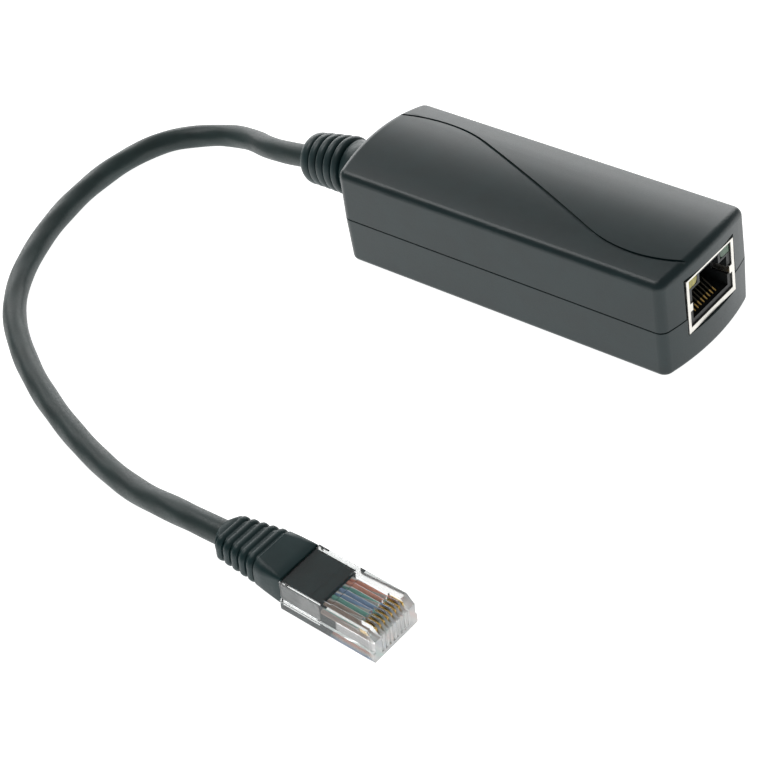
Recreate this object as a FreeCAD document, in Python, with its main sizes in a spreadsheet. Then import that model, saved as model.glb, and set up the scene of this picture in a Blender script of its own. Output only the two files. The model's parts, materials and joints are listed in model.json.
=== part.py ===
import FreeCAD, Part
import Sketcher
import math
import os
import re

# Power converter for a network line, in millimetres
# Origin: middle of the case on the surface that it lies on. X runs to the jack, Z is up.

SIZES = {
    # case
    "case_length": 82.4, "case_width": 29.4, "case_height": 24.0,
    "seam_height": 10.9, "seam_gap": 0.24, "case_wall": 1.8, "crown_rise": 2.0,
    "jack_end_bow": 2.0, "cable_end_bow": 1.2, "draft_angle": 0.8,
    "corner_radius": 2.2, "top_edge_radius": 1.8, "bottom_edge_radius": 1.2,
    "lip_thickness": 0.7, "lip_height": 1.2, "lip_clearance": 0.1,
    "groove_width": 0.6, "groove_depth": 0.4, "groove_radius": 30.0,
    "groove_slope": 21.5, "groove_straight": 38.0, "groove_turn": 40.0,
    # board and the posts that hold it
    "board_thickness": 1.6, "board_rear_gap": 7.8, "board_side_gap": 2.7,
    "board_setback": 3.6, "board_corner": 1.0, "post_radius": 2.0, "pin_radius": 0.9,
    "pin_clearance": 0.1, "post_clearance": 0.2, "post_edge": 2.1, "lead_hole_radius": 0.6,
    # jack
    "jack_width": 16.0, "jack_height": 12.6, "jack_bottom": 7.0,
    "jack_recess": 0.5, "upper_jack_gap": 0.5, "lower_jack_gap": 0.15,
    "shield_sheet": 0.3, "side_rim": 0.8, "bottom_rim": 1.2, "top_rim": 0.45,
    "shield_floor_depth": 3.0, "shield_back_room": 3.6, "shield_clearance": 0.08, "shield_leg": 1.2,
    "shield_leg_setback": 8.9, "finger_height": 1.8, "finger_length": 4.0, "finger_offset": 1.5,
    "housing_depth": 14.4, "housing_back_wall": 1.0, "socket_floor": 2.4,
    "socket_width": 11.94, "socket_height": 6.9, "latch_slot_width": 6.4, "latch_slot_height": 2.1,
    "peg_radius": 1.6, "peg_spacing": 11.4, "led_width": 3.0, "led_height": 2.0, "led_depth": 7.0,
    "led_spacing": 11.0, "led_drop": 0.75, "led_clearance": 0.05,
    "contact_pitch": 1.02, "spring_wire": 0.44, "spring_groove": 0.66, "spring_rise": 4.3,
    "spring_knee": 4.6, "spring_front": 1.6, "spring_tail": 1.0, "spring_stagger": 1.3,
    # cable, strain relief and the leads inside the case
    "cable_diameter": 5.0, "cable_height": 12.0, "cable_start_run": 12.0, "cable_end_run": 10.5,
    "sleeve_clearance": 0.05, "relief_length": 19.3, "relief_bend": 10.8, "relief_neck_radius": 4.5,
    "relief_collar_radius": 5.9, "relief_collar_gap": 0.4, "relief_collar_end": 7.1,
    "relief_core_radius": 4.9, "relief_rib_radius": 6.35, "relief_rib_taper": 0.18,
    "relief_rib_rounding": 0.95, "relief_rib_pitch": 2.2, "relief_first_rib": 8.4, "relief_ribs": 5,
    "relief_dome_length": 1.8, "relief_tip_radius": 3.5,
    "neck_clearance": 0.1, "flange_radius": 6.2, "flange_thickness": 1.6, "flange_gap": 0.2,
    "keeper_thickness": 1.2, "keeper_reach": 3.2, "jacket_end_reach": 1.0,
    "lead_diameter": 0.9, "lead_ring": 1.55, "lead_post_gap": 0.3, "lead_inset": 3.4,
    "lead_tail": 0.8, "lead_run": 1.6, "lead_lift": 4.0,
    # plug, lying on its latch
    "plug_x": 38.35, "plug_y": -96.6, "plug_z": 0.7, "plug_turn": -0.5, "plug_dip": 5.0,
    "plug_length": 21.5, "plug_width": 11.68, "plug_height": 6.6, "nose_height": 4.9,
    "nose_length": 1.7, "plug_clearance": 0.05, "latch_width": 6.0, "latch_thickness": 0.8,
    "latch_length": 14.6, "latch_drop": 1.6, "latch_root": 1.4,
    "latch_setback": 0.2, "latch_sink": 0.3,
    "wire_diameter": 0.92, "wire_height": 3.9, "wire_front": 1.1,
    "blade_thickness": 0.36, "blade_length": 2.9, "blade_front": 1.0, "blade_recess": 0.35,
    "blade_clearance": 0.06,
    "insert_length": 8.8, "insert_width": 9.8, "insert_height": 4.8, "insert_height_start": 1.0,
    # plug boot
    "boot_block_length": 6.5, "boot_front_width": 10.6, "boot_front_height": 7.0,
    "boot_front_corner": 0.6, "boot_front_axis": 3.6, "boot_back_width": 11.2, "boot_back_height": 6.8,
    "boot_back_corner": 2.2, "boot_back_axis": 4.0, "boot_end_wall": 0.8,
    "boot_tail_length": 11.4, "boot_tail_bend": 5.5, "boot_ribs": 5, "boot_first_rib": 0.3,
    "boot_rib_lean": 2.0,
    "boot_rib_thickness": 1.5, "boot_rib_pitch": 2.1, "boot_rib_rounding": 0.45, "boot_rib_shrink": 0.5,
    "boot_rib_drop": 0.17, "boot_rib_corner": 1.8, "boot_groove_side": 0.6, "boot_groove_top": 0.3,
    "boot_tip_width": 5.8, "boot_tip_height": 5.7, "boot_tip_corner": 2.6,
    # power and data parts on the board
    "part_edge": 1.2, "output_can_inner": 3.2, "output_can_headroom": 1.7,
    "input_can_inner": 1.8, "input_can_headroom": 1.2,
    "can_bead": 0.35, "can_bead_height": 1.6, "can_pin_spacing": 3.5, "component_pin_radius": 0.3,
    "pin_tail": 1.2, "pin_hole_clearance": 0.1,
    "core_length": 11.0, "core_width": 11.2, "core_thickness": 4.6,
    "core_leg": 1.9, "core_yoke": 2.2, "core_post": 3.2, "core_gap": 0.1, "core_lift": 0.8,
    "core_pin_pitch": 2.5, "winding_height": 8.4,
    "inductor_inner": 3.2, "inductor_height": 5.0, "inductor_corner": 1.5,
    "choke_length": 6.0, "choke_gap": 0.4, "choke_height": 5.8, "choke_span": 8.2,
    "choke_end": 1.2, "choke_legs": 8, "choke_leg_width": 0.5,
    "chip_length": 3.9, "chip_width": 4.9, "chip_height": 1.5, "chip_span": 6.0,
    "chip_pitch": 1.27, "chip_legs": 4, "chip_leg_width": 0.45, "chip_leg_thickness": 0.22,
    "chip_lift": 0.1, "chip_foot": 0.55, "chip_inset": 2.9,
    "rectifier_length": 4.0, "rectifier_inner": 1.6, "rectifier_gap": 0.8, "rectifier_height": 2.4,
    "rectifier_span": 6.6, "rectifier_pitch": 2.0, "rectifier_legs": 2, "rectifier_leg_width": 0.7,
    "diode_length": 4.3, "diode_width": 3.6, "diode_height": 2.2, "diode_span": 5.6,
    "diode_pitch": 1.0, "diode_legs": 1, "diode_leg_width": 2.0,
    "small_part_pitch": 3.2, "small_part_y": 4.2, "small_part_count": 6,
    "small_part_length": 2.0, "small_part_width": 1.25,
    "resistor_thickness": 0.55, "small_capacitor_thickness": 1.1,
    # how far a cutting tool runs past what it cuts
    "cut_margin": 1.0,
}

WIRE_COLOURS = [
    "white_orange", "orange", "white_green", "blue",
    "white_blue", "green", "white_brown", "brown",
]
CONTACTS = len(WIRE_COLOURS)
TOLERANCE = 0.01
PARALLEL = 0.99

# Bends of the free cable between the strain relief and the plug boot, chosen on the photograph
CABLE_BENDS = [
    (-84.3, 4.5, 5.0), (-96.1, 3.7, 2.6), (-105.2, -4.2, 2.6), (-108.2, -21.5, 2.6),
    (-104.0, -43.2, 2.6), (-92.8, -64.0, 2.6), (-73.7, -77.6, 2.6), (-51.2, -87.5, 2.6),
    (-29.2, -93.8, 3.2),
]
ARC_SHARE = 0.45

doc = FreeCAD.newDocument("converter")
sheet = doc.addObject("Spreadsheet::Sheet", "sizes")
for row, (alias, number) in enumerate(SIZES.items(), start=1):
    sheet.set("A%d" % row, alias)
    sheet.set("B%d" % row, str(number))
    sheet.setAlias("B%d" % row, alias)
doc.recompute()

NODES = {}


def size(alias):
    return float(sheet.get(alias))


def bound(text):
    """Give each alias in the text the name of its sheet."""
    return re.sub(r"[a-z][a-z_]*", lambda word: "sizes." + word[0] if word[0] in SIZES else word[0], text)


def bind(thing, **properties):
    """Tie properties of an object to the sheet; a double underscore stands for a dot."""
    for name, text in properties.items():
        thing.setExpression(name.replace("__", "."), bound(text))
    return thing


def put(thing, x="0", y="0", z="0"):
    return bind(thing, Placement__Base__x=x, Placement__Base__y=y, Placement__Base__z=z)


def keep(thing, label):
    """Name an object as one sub-part of the converter."""
    thing.Label = label
    NODES[label] = thing
    return thing


def block(name, x, y, z, length, width, height):
    """A box from its low corner in x and z, centred on y."""
    box = doc.addObject("Part::Box", name)
    bind(box, Length=length, Width=width, Height=height)
    return put(box, x, "%s - (%s)/2" % (y, width), z)


def rod(name, x, y, z, radius, height, axis="z"):
    """A cylinder that starts at a point and runs along an axis."""
    cylinder = doc.addObject("Part::Cylinder", name)
    bind(cylinder, Radius=radius, Height=height)
    if axis == "x":
        cylinder.Placement.Rotation = FreeCAD.Rotation(FreeCAD.Vector(0, 1, 0), 90)
    return put(cylinder, x, y, z)


def fuse(name, parts):
    union = doc.addObject("Part::MultiFuse", name)
    union.Shapes = parts
    union.Refine = True
    return union


def cut(name, base, tools):
    """Take one tool or several away from a solid."""
    tool = tools[0] if len(tools) == 1 else fuse(name + "_tools", tools)
    result = doc.addObject("Part::Cut", name)
    result.Base = base
    result.Tool = tool
    result.Refine = True
    return result


def common(name, first, second):
    result = doc.addObject("Part::Common", name)
    result.Base = first
    result.Tool = second
    return result


def group(name, parts):
    """Like pieces side by side in one sub-part, each its own solid."""
    compound = doc.addObject("Part::Compound", name)
    compound.Links = parts
    return compound


def rounded(name, base, radius, chosen):
    """Round the edges that a test picks."""
    doc.recompute()
    fillet = doc.addObject("Part::Fillet", name)
    fillet.Base = base
    edges = base.Shape.Edges
    fillet.Edges = [(i + 1, radius, radius) for i, edge in enumerate(edges) if chosen(edge)]
    return fillet


def along(direction):
    """A test for straight edges that run along one direction."""
    def test(edge):
        if len(edge.Vertexes) != 2 or edge.Curve.TypeId != "Part::GeomLine":
            return False
        return abs(edge.tangentAt(edge.FirstParameter).dot(direction)) > PARALLEL
    return test


Y_AXIS = FreeCAD.Vector(0, 1, 0)
Z_AXIS = FreeCAD.Vector(0, 0, 1)

# Places that several pieces share

LIP_INSET = "(case_wall - lip_thickness - lip_clearance)"
UPPER_SEAM = "(seam_height + seam_gap/2)"
LOWER_SEAM = "(seam_height - seam_gap/2)"
BOARD_REAR = "(board_rear_gap - case_length/2)"
BOARD_LENGTH = "(case_length - board_setback - board_rear_gap)"
BOARD_WIDTH = "(case_width - 2*board_side_gap)"
BOARD_BOTTOM = "(jack_bottom - board_thickness)"
PIN_BOTTOM = "(%s - pin_tail)" % BOARD_BOTTOM
PIN_RISE = "(board_thickness + pin_tail)"
JACK_FACE = "(case_length/2 - jack_recess)"
JACK_DEPTH = "(housing_depth + shield_back_room)"
SOCKET_DEPTH = "(housing_depth - housing_back_wall)"
SOCKET_Z = "(jack_bottom + socket_floor)"
FINGER_Z = "(%s + socket_height/2 - finger_height/2)" % SOCKET_Z
HOUSING_FRONT = "(%s - shield_sheet - shield_clearance)" % JACK_FACE
HOUSING_BOTTOM = "(jack_bottom + shield_sheet + shield_clearance)"
HOUSING_TOP = "(jack_bottom + jack_height - shield_sheet - shield_clearance)"
LED_Z = "(jack_bottom + jack_height - led_drop - led_height)"
PEG_X = "(%s - shield_leg_setback)" % JACK_FACE
LEG_X = "(%s - shield_leg_setback - shield_leg*4)" % JACK_FACE
TAIL_X = "(%s - housing_depth - spring_tail)" % JACK_FACE
LEAD_X = "(%s + lead_inset)" % BOARD_REAR
LEAD_PITCH = "(({w}/2 - post_edge - post_radius - lead_hole_radius - lead_post_gap)*2/{n})".format(
    w=BOARD_WIDTH, n=CONTACTS - 1)
INSERT_X = "(-plug_length)"
WIRE_BACK = "(-plug_length + insert_length)"

# The tall parts stand in a row along the board, with even gaps from the leads to the jack

CAN_ROOM = "(case_height - case_wall - crown_rise - jack_bottom)"
OUTPUT_RADIUS = "((%s/2 - part_edge - output_can_inner)/2)" % BOARD_WIDTH
INPUT_RADIUS = "((%s/2 - part_edge - input_can_inner)/2)" % BOARD_WIDTH
INDUCTOR_SIDE = "(%s/2 - part_edge - inductor_inner)" % BOARD_WIDTH
ROW_START = "(%s + post_radius)" % LEAD_X
ROW_GAP = "((%s - %s - %s - 2*%s - core_length - 2*%s - choke_span)/5)" % (
    JACK_FACE, JACK_DEPTH, ROW_START, OUTPUT_RADIUS, INPUT_RADIUS)
OUTPUT_X = "(%s + %s + %s)" % (ROW_START, ROW_GAP, OUTPUT_RADIUS)
CORE_X = "(%s + %s + %s + core_length/2)" % (OUTPUT_X, OUTPUT_RADIUS, ROW_GAP)
INPUT_X = "(%s + core_length/2 + %s + %s)" % (CORE_X, ROW_GAP, INPUT_RADIUS)
CHOKE_X = "(%s + %s + %s + choke_span/2)" % (INPUT_X, INPUT_RADIUS, ROW_GAP)
CANS = [
    ("output_capacitor", OUTPUT_X, OUTPUT_RADIUS, CAN_ROOM + " - output_can_headroom"),
    ("input_capacitor", INPUT_X, INPUT_RADIUS, CAN_ROOM + " - input_can_headroom"),
]
POSTS = [
    (x, "%s(%s/2 - post_edge)" % (side, BOARD_WIDTH))
    for x in (LEAD_X, CHOKE_X) for side in ("", "-")
]


# Case outline and shells

def bow_radius(bow):
    return "((%s^2 + (case_width/2)^2)/(2*%s))" % (bow, bow)


def corner_reach(bow, inset):
    """How far the corner of the outline lies from the middle of the case."""
    radius = bow_radius(bow)
    return "(case_length/2 - {r} + sqrt(({r} - ({i}))^2 - (case_width/2 - ({i}))^2))".format(r=radius, i=inset)


def outline_body(name, inset, level, rise, downwards, corner):
    """A block with bowed ends and drafted sides, from a sketch at one level."""
    body = doc.addObject("PartDesign::Body", name)
    plane = [p for p in body.Origin.OriginFeatures if p.Role == "XY_Plane"][0]
    sketch = body.newObject("Sketcher::SketchObject", name + "_sketch")
    sketch.AttachmentSupport = [(plane, "")]
    sketch.MapMode = "FlatFace"
    bind(sketch, AttachmentOffset__Base__z=level)
    half = size("case_width") / 2
    reach = size("case_length") / 2 - size("jack_end_bow")
    jack_radius = (size("jack_end_bow") ** 2 + half ** 2) / (2 * size("jack_end_bow"))
    cable_radius = (size("cable_end_bow") ** 2 + half ** 2) / (2 * size("cable_end_bow"))
    flat = FreeCAD.Vector
    jack_turn = math.asin(half / jack_radius)
    cable_turn = math.asin(half / cable_radius)
    jack_centre = flat(reach - math.sqrt(jack_radius ** 2 - half ** 2), 0, 0)
    jack_circle = Part.Circle(jack_centre, Z_AXIS, jack_radius)
    cable_centre = flat(math.sqrt(cable_radius ** 2 - half ** 2) - reach, 0, 0)
    cable_circle = Part.Circle(cable_centre, Z_AXIS, cable_radius)
    sketch.addGeometry([
        Part.LineSegment(flat(-reach, half, 0), flat(reach, half, 0)),
        Part.ArcOfCircle(jack_circle, -jack_turn, jack_turn),
        Part.LineSegment(flat(-reach, -half, 0), flat(reach, -half, 0)),
        Part.ArcOfCircle(cable_circle, math.pi - cable_turn, math.pi + cable_turn),
    ])
    rule = Sketcher.Constraint
    sketch.addConstraint([
        rule("Coincident", 0, 1, 3, 1), rule("Coincident", 0, 2, 1, 2),
        rule("Coincident", 2, 1, 3, 2), rule("Coincident", 2, 2, 1, 1),
        rule("Horizontal", 0), rule("Symmetric", 0, 1, 2, 1, -1), rule("Symmetric", 0, 2, 2, 2, -1),
        rule("DistanceY", -1, 1, 0, 1, half), rule("DistanceX", -1, 1, 0, 2, reach),
        rule("DistanceX", 0, 1, -1, 1, reach), rule("Radius", 1, jack_radius), rule("Radius", 3, cable_radius),
    ])
    named = {
        7: ("half_width", "case_width/2 - (%s)" % inset),
        8: ("jack_reach", corner_reach("jack_end_bow", inset)),
        9: ("cable_reach", corner_reach("cable_end_bow", inset)),
        10: ("jack_bow", "%s - (%s)" % (bow_radius("jack_end_bow"), inset)),
        11: ("cable_bow", "%s - (%s)" % (bow_radius("cable_end_bow"), inset)),
    }
    for index, (word, text) in named.items():
        sketch.renameConstraint(index, word)
        sketch.setExpression("Constraints." + word, bound(text))
    pad = body.newObject("PartDesign::Pad", name + "_pad")
    pad.Profile = sketch
    pad.Reversed = downwards
    bind(pad, Length=rise, TaperAngle="-draft_angle")
    doc.recompute()
    fillet = body.newObject("PartDesign::Fillet", name + "_corners")
    upright = [
        "Edge%d" % (i + 1) for i, edge in enumerate(pad.Shape.Edges)
        if abs((edge.Vertexes[0].Point - edge.Vertexes[-1].Point).z) > size("case_wall") / 4
    ]
    fillet.Base = (pad, upright)
    bind(fillet, Radius=corner)
    body.Tip = fillet
    return body


def crown_cylinder(name, depth):
    """The rounded back of the case as a long cylinder, some depth below the outer skin."""
    radius = "((crown_rise^2 + (case_width/2)^2)/(2*crown_rise))"
    return rod(name, "-case_length", "0", "case_height - " + radius,
               "%s - (%s)" % (radius, depth), "case_length*2", "x")


FLANGE_X = "(-case_length/2 + case_wall + flange_gap + flange_radius^2/(2*%s))" % bow_radius("cable_end_bow")
KEEPER_X = "(%s + flange_thickness + flange_gap)" % FLANGE_X


def jack_window(name, gap):
    """The hole in the end wall that the jack looks out of."""
    return block(name, JACK_FACE + " - " + JACK_DEPTH, "0", "jack_bottom - " + gap,
                 JACK_DEPTH + "*2", "jack_width + 2*" + gap, "jack_height + 2*" + gap)


def relief_hole(name):
    return rod(name, "-case_length/2 - case_wall", "0", "cable_height",
               "relief_neck_radius + neck_clearance", "case_wall*3", "x")


def groove_tool():
    """The S-shaped groove over the back: a straight run between two arcs."""
    straight = doc.addObject("Part::Box", "groove_straight_band")
    bind(straight, Length="groove_straight", Width="groove_width", Height="case_height",
         Placement__Rotation__Angle="-groove_slope")
    put(straight, "-groove_straight/2*cos(groove_slope * 1deg) - groove_width/2*sin(groove_slope * 1deg)",
        "groove_straight/2*sin(groove_slope * 1deg) - groove_width/2*cos(groove_slope * 1deg)",
        "seam_height")
    bands = [straight]
    for side, start in ((-1, "90deg"), (1, "270deg")):
        centre_x = "(groove_straight/2*cos(groove_slope * 1deg) + groove_radius*sin(groove_slope * 1deg))"
        centre_y = "(groove_radius*cos(groove_slope * 1deg) - groove_straight/2*sin(groove_slope * 1deg))"
        arcs = []
        for half in ("+ groove_width/2", "- groove_width/2"):
            arc = doc.addObject("Part::Cylinder", "groove_arc")
            bind(arc, Radius="groove_radius " + half, Height="case_height",
                 Angle="groove_slope + groove_turn",
                 Placement__Rotation__Angle="%s - groove_slope * 1deg" % start)
            put(arc, "%d*%s" % (side, centre_x), "%d*%s" % (side, centre_y), "seam_height")
            arcs.append(arc)
        bands.append(cut("groove_bend", arcs[0], arcs[1:]))
    band = fuse("groove_band", bands)
    return cut("groove_tool", band, [crown_cylinder("groove_floor", "groove_depth")])


def upper_case():
    blank = common("upper_blank",
                   outline_body("upper_outline", "0", UPPER_SEAM, "case_height - seam_height", False,
                                "corner_radius"),
                   crown_cylinder("upper_crown", "0"))
    doc.recompute()
    back = max(blank.Shape.Faces, key=lambda face: face.CenterOfMass.z)
    rim = [edge.hashCode() for edge in back.Edges]
    outside = rounded("upper_outside", blank, size("top_edge_radius"),
                      lambda edge: edge.hashCode() in rim)
    room = common("upper_room",
                  outline_body("upper_inner", "case_wall", "seam_height - seam_gap",
                               "case_height - seam_height", False, "corner_radius/2"),
                  crown_cylinder("upper_ceiling", "case_wall"))
    rebate = outline_body("upper_rebate", LIP_INSET, "seam_height - seam_gap",
                          "lip_height + seam_gap + lip_clearance", False, "corner_radius/2")
    shell = cut("upper_shell", outside, [room, rebate, jack_window("upper_window", "upper_jack_gap"),
                                         relief_hole("upper_relief_hole")])
    posts = []
    for x, y in POSTS:
        post = rod("upper_post", x, y, "jack_bottom + post_clearance/2", "post_radius", "case_height")
        bore = rod("upper_post_bore", x, y, "jack_bottom", "pin_radius + pin_clearance",
                   "pin_tail + pin_clearance")
        posts.append(cut("upper_post_drilled", post, [bore]))
    keeper = block("upper_keeper", KEEPER_X, "0", "cable_height + keeper_reach",
                   "keeper_thickness", "flange_radius*2", "case_height")
    inside = common("upper_fittings", fuse("upper_posts", posts + [keeper]),
                    crown_cylinder("upper_fitting_limit", "case_wall/2"))
    joined = fuse("upper_joined", [shell, inside])
    keep(cut("upper_case", joined, [groove_tool()]), "upper_case")


def lower_case():
    body = outline_body("lower_outline", "0", LOWER_SEAM, LOWER_SEAM, True, "corner_radius")
    outside = rounded("lower_outside", body, size("bottom_edge_radius"),
                      lambda edge: all(abs(vertex.Z) < TOLERANCE for vertex in edge.Vertexes))
    lip_outer = outline_body("lip_outer", "case_wall - lip_thickness", "seam_height - seam_gap",
                             "lip_height + seam_gap", False, "corner_radius/2")
    room = outline_body("lower_room", "case_wall + lip_clearance/2", "seam_height + lip_height + seam_gap",
                        "seam_height + lip_height + seam_gap - case_wall", True, "corner_radius/2")
    shell = cut("lower_shell", fuse("lower_block", [outside, lip_outer]),
                [room, jack_window("lower_window", "lower_jack_gap"), relief_hole("lower_relief_hole")])
    fittings = []
    for x, y in POSTS:
        fittings.append(rod("lower_post", x, y, "case_wall/2", "post_radius", BOARD_BOTTOM + " - case_wall/2"))
        fittings.append(rod("lower_pin", x, y, "case_wall/2", "pin_radius",
                            "jack_bottom + pin_tail - case_wall/2"))
    fittings.append(block("lower_keeper", KEEPER_X, "0", "case_wall/2", "keeper_thickness",
                          "flange_radius*2", "cable_height - keeper_reach - case_wall/2"))
    keep(fuse("lower_case", [shell] + fittings), "lower_case")


# Circuit board

def circuit_board():
    plate = block("board_plate", BOARD_REAR, "0", BOARD_BOTTOM, BOARD_LENGTH, BOARD_WIDTH, "board_thickness")
    plate = rounded("board_blank", plate, size("board_corner"), along(Z_AXIS))
    holes = []
    spans = [(x, y, "pin_radius + pin_clearance") for x, y in POSTS]
    spans += [(PEG_X, side + "peg_spacing/2", "peg_radius + pin_hole_clearance") for side in ("", "-")]
    spans += [(LEAD_X, "%s*%s" % (LEAD_PITCH, place), "lead_hole_radius") for place in lead_places()]
    pins = can_pins() + core_pins() + jack_tails()
    spans += [(x, y, "component_pin_radius + pin_hole_clearance") for x, y in pins]
    for x, y, radius in spans:
        holes.append(rod("board_hole", x, y, BOARD_BOTTOM + " - cut_margin", radius,
                         "board_thickness + 2*cut_margin"))
    for side in (1, -1):
        holes.append(block("board_slot", LEG_X + " - pin_hole_clearance",
                           "%d*(jack_width/2 - shield_sheet/2)" % side, BOARD_BOTTOM + " - cut_margin",
                           "shield_leg + 2*pin_hole_clearance", "shield_sheet + 2*pin_hole_clearance",
                           "board_thickness + 2*cut_margin"))
    keep(cut("circuit_board", plate, holes), "circuit_board")


def lead_places():
    return [place - (CONTACTS - 1) / 2 for place in range(CONTACTS)]


def can_place(radius):
    """How far a can stands from the middle of the board."""
    return "(%s/2 - part_edge - %s)" % (BOARD_WIDTH, radius)


def can_pins():
    return [
        (x, "%s %s can_pin_spacing/2" % (can_place(radius), sign)) for _, x, radius, _ in CANS for sign in "+-"
    ]


def core_pins():
    """The winding's pins, in two rows beside the core."""
    return [
        ("%s %s (core_length/2 - core_leg/2)" % (CORE_X, sign), "core_pin_pitch*%d" % place)
        for sign in "+-" for place in (-1, 0, 1)
    ]


def jack_tails():
    """Where the spring contacts' tails go through the board, in two staggered rows."""
    return [
        (TAIL_X + (" - spring_stagger" if index % 2 else ""), "contact_pitch*%s" % place)
        for index, place in enumerate(lead_places())
    ]


# Jack

def jack_shield():
    """A folded sheet box with an open front, two legs and two fingers that touch the plug."""
    rear = "%s - %s" % (JACK_FACE, JACK_DEPTH)
    outer = block("shield_outer", rear, "0", "jack_bottom", JACK_DEPTH, "jack_width", "jack_height")
    room = block("shield_room", rear + " + shield_sheet", "0", "jack_bottom + shield_sheet",
                 JACK_DEPTH + " - 2*shield_sheet", "jack_width - 2*shield_sheet",
                 "jack_height - 2*shield_sheet")
    under = block("shield_under", rear + " - shield_sheet", "0", "jack_bottom - shield_sheet",
                  JACK_DEPTH + " + shield_sheet - shield_floor_depth", "jack_width - 2*shield_sheet",
                  "3*shield_sheet")
    window = block("shield_window", JACK_FACE + " - 2*shield_sheet", "0", "jack_bottom + bottom_rim",
                   "4*shield_sheet", "jack_width - 2*side_rim", "jack_height - bottom_rim - top_rim")
    pieces = [cut("shield_box", outer, [room, under, window])]
    for side in (1, -1):
        pieces.append(block("shield_leg_blade", LEG_X, "%d*(jack_width/2 - shield_sheet/2)" % side,
                            PIN_BOTTOM, "shield_leg", "shield_sheet", PIN_RISE + " + shield_sheet"))
        pieces.append(block("finger_fold", JACK_FACE + " - shield_sheet",
                            "%d*(jack_width/2 - side_rim/2 - finger_offset/2)" % side, FINGER_Z,
                            "shield_sheet", "finger_offset - side_rim", "finger_height"))
        pieces.append(block("finger_blade", JACK_FACE + " - finger_length",
                            "%d*(jack_width/2 - finger_offset)" % side, FINGER_Z,
                            "finger_length", "shield_sheet", "finger_height"))
    keep(fuse("jack_shield", pieces), "jack_shield")


def jack_housing():
    """The moulded insulator: socket, latch slot, light windows and a comb for the contacts."""
    base = block("housing_block", JACK_FACE + " - housing_depth", "0", HOUSING_BOTTOM,
                 HOUSING_FRONT + " - " + JACK_FACE + " + housing_depth",
                 "jack_width - 2*shield_sheet - 2*shield_clearance", HOUSING_TOP + " - " + HOUSING_BOTTOM)
    pegs = [
        rod("housing_peg", PEG_X, side + "peg_spacing/2", PIN_BOTTOM, "peg_radius",
            HOUSING_BOTTOM + " - " + PIN_BOTTOM + " + shield_sheet") for side in ("", "-")
    ]
    feet = block("housing_foot", JACK_FACE + " - housing_depth", "0", "jack_bottom",
                 "housing_depth - shield_floor_depth - shield_sheet",
                 "jack_width - 2*shield_sheet - 2*shield_clearance", "shield_sheet*2")
    back = "%s - %s" % (JACK_FACE, SOCKET_DEPTH)
    socket = block("socket_room", back, "0", SOCKET_Z, SOCKET_DEPTH + "*2", "socket_width", "socket_height")
    latch = block("latch_room", back, "0", SOCKET_Z, SOCKET_DEPTH + "*2", "latch_slot_width",
                  "socket_height + latch_slot_height")
    tools = [socket, latch]
    for side in (1, -1):
        tools.append(block("led_pocket", JACK_FACE + " - led_depth - led_clearance", "%d*led_spacing/2" % side,
                           LED_Z + " - led_clearance", "led_depth*2", "led_width + 2*led_clearance",
                           "led_height + 2*led_clearance"))
        tools.append(block("finger_pocket", JACK_FACE + " - finger_length - shield_clearance",
                           "%d*(jack_width/2 - finger_offset)" % side, FINGER_Z + " - shield_clearance",
                           "finger_length*2", "shield_sheet + 2*shield_clearance + finger_offset/2",
                           "finger_height + 2*shield_clearance"))
    for place in lead_places():
        y = "contact_pitch*%s" % place
        tools.append(block("comb_slot", JACK_FACE + " - housing_depth - cut_margin", y,
                           "jack_bottom + spring_rise - spring_groove/2", "housing_depth/2",
                           "spring_groove", "spring_groove"))
        tools.append(block("floor_groove", "%s - %s/2" % (JACK_FACE, SOCKET_DEPTH), y,
                           SOCKET_Z + " - spring_groove", SOCKET_DEPTH + "/2 - spring_front + spring_groove/2",
                           "spring_groove", "spring_groove*2"))
    keep(cut("jack_housing", fuse("housing_body", [base, feet] + pegs), tools), "jack_housing")


def jack_leds():
    """The two light windows in the upper corners of the jack."""
    for side, label in ((-1, "jack_led_yellow"), (1, "jack_led_green")):
        lens = block(label, JACK_FACE + " - led_depth", "%d*led_spacing/2" % side, LED_Z,
                     "led_depth - shield_sheet - shield_clearance", "led_width", "led_height")
        keep(lens, label)


def wire_through(points, radius):
    """A round wire through a list of points, with mitred corners."""
    path = Part.makePolygon(points)
    first = (points[1] - points[0]).normalize()
    ring = Part.Wire(Part.Circle(points[0], first, radius).toShape())
    solid = Part.Wire(path.Edges).makePipeShell([ring], True, True, 1)
    return solid


def jack_contacts():
    """Eight spring wires: tail through the board, over the comb and down to the socket's floor."""
    face = size("case_length") / 2 - size("jack_recess")
    rise = size("jack_bottom") + size("spring_rise")
    low = size("jack_bottom") + size("socket_floor") - size("spring_groove") / 2
    tail = face - size("housing_depth") - size("spring_tail")
    foot = size("jack_bottom") - size("board_thickness") - size("pin_tail")
    springs = []
    for index, place in enumerate(lead_places()):
        y = place * size("contact_pitch")
        back = tail - (size("spring_stagger") if index % 2 else 0)
        route = [(back, y, foot), (back, y, rise), (face - size("spring_knee"), y, rise),
                 (face - size("spring_front"), y, low)]
        spring = doc.addObject("Part::Feature", "spring_wire")
        spring.Shape = wire_through([FreeCAD.Vector(*point) for point in route], size("spring_wire") / 2)
        springs.append(spring)
    keep(group("jack_contacts", springs), "jack_contacts")


# Strain relief and the cable's two ends

def relief_place(reach):
    """A point on the strain relief's bent axis, this far out from the wall, and where the axis heads."""
    radius = size("relief_length") / math.radians(size("relief_bend"))
    turn = reach / radius
    place = FreeCAD.Vector(-size("case_length") / 2 - radius * math.sin(turn), 0,
                           size("cable_height") - radius * (1 - math.cos(turn)))
    return place, FreeCAD.Vector(-math.cos(turn), 0, -math.sin(turn))


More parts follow.
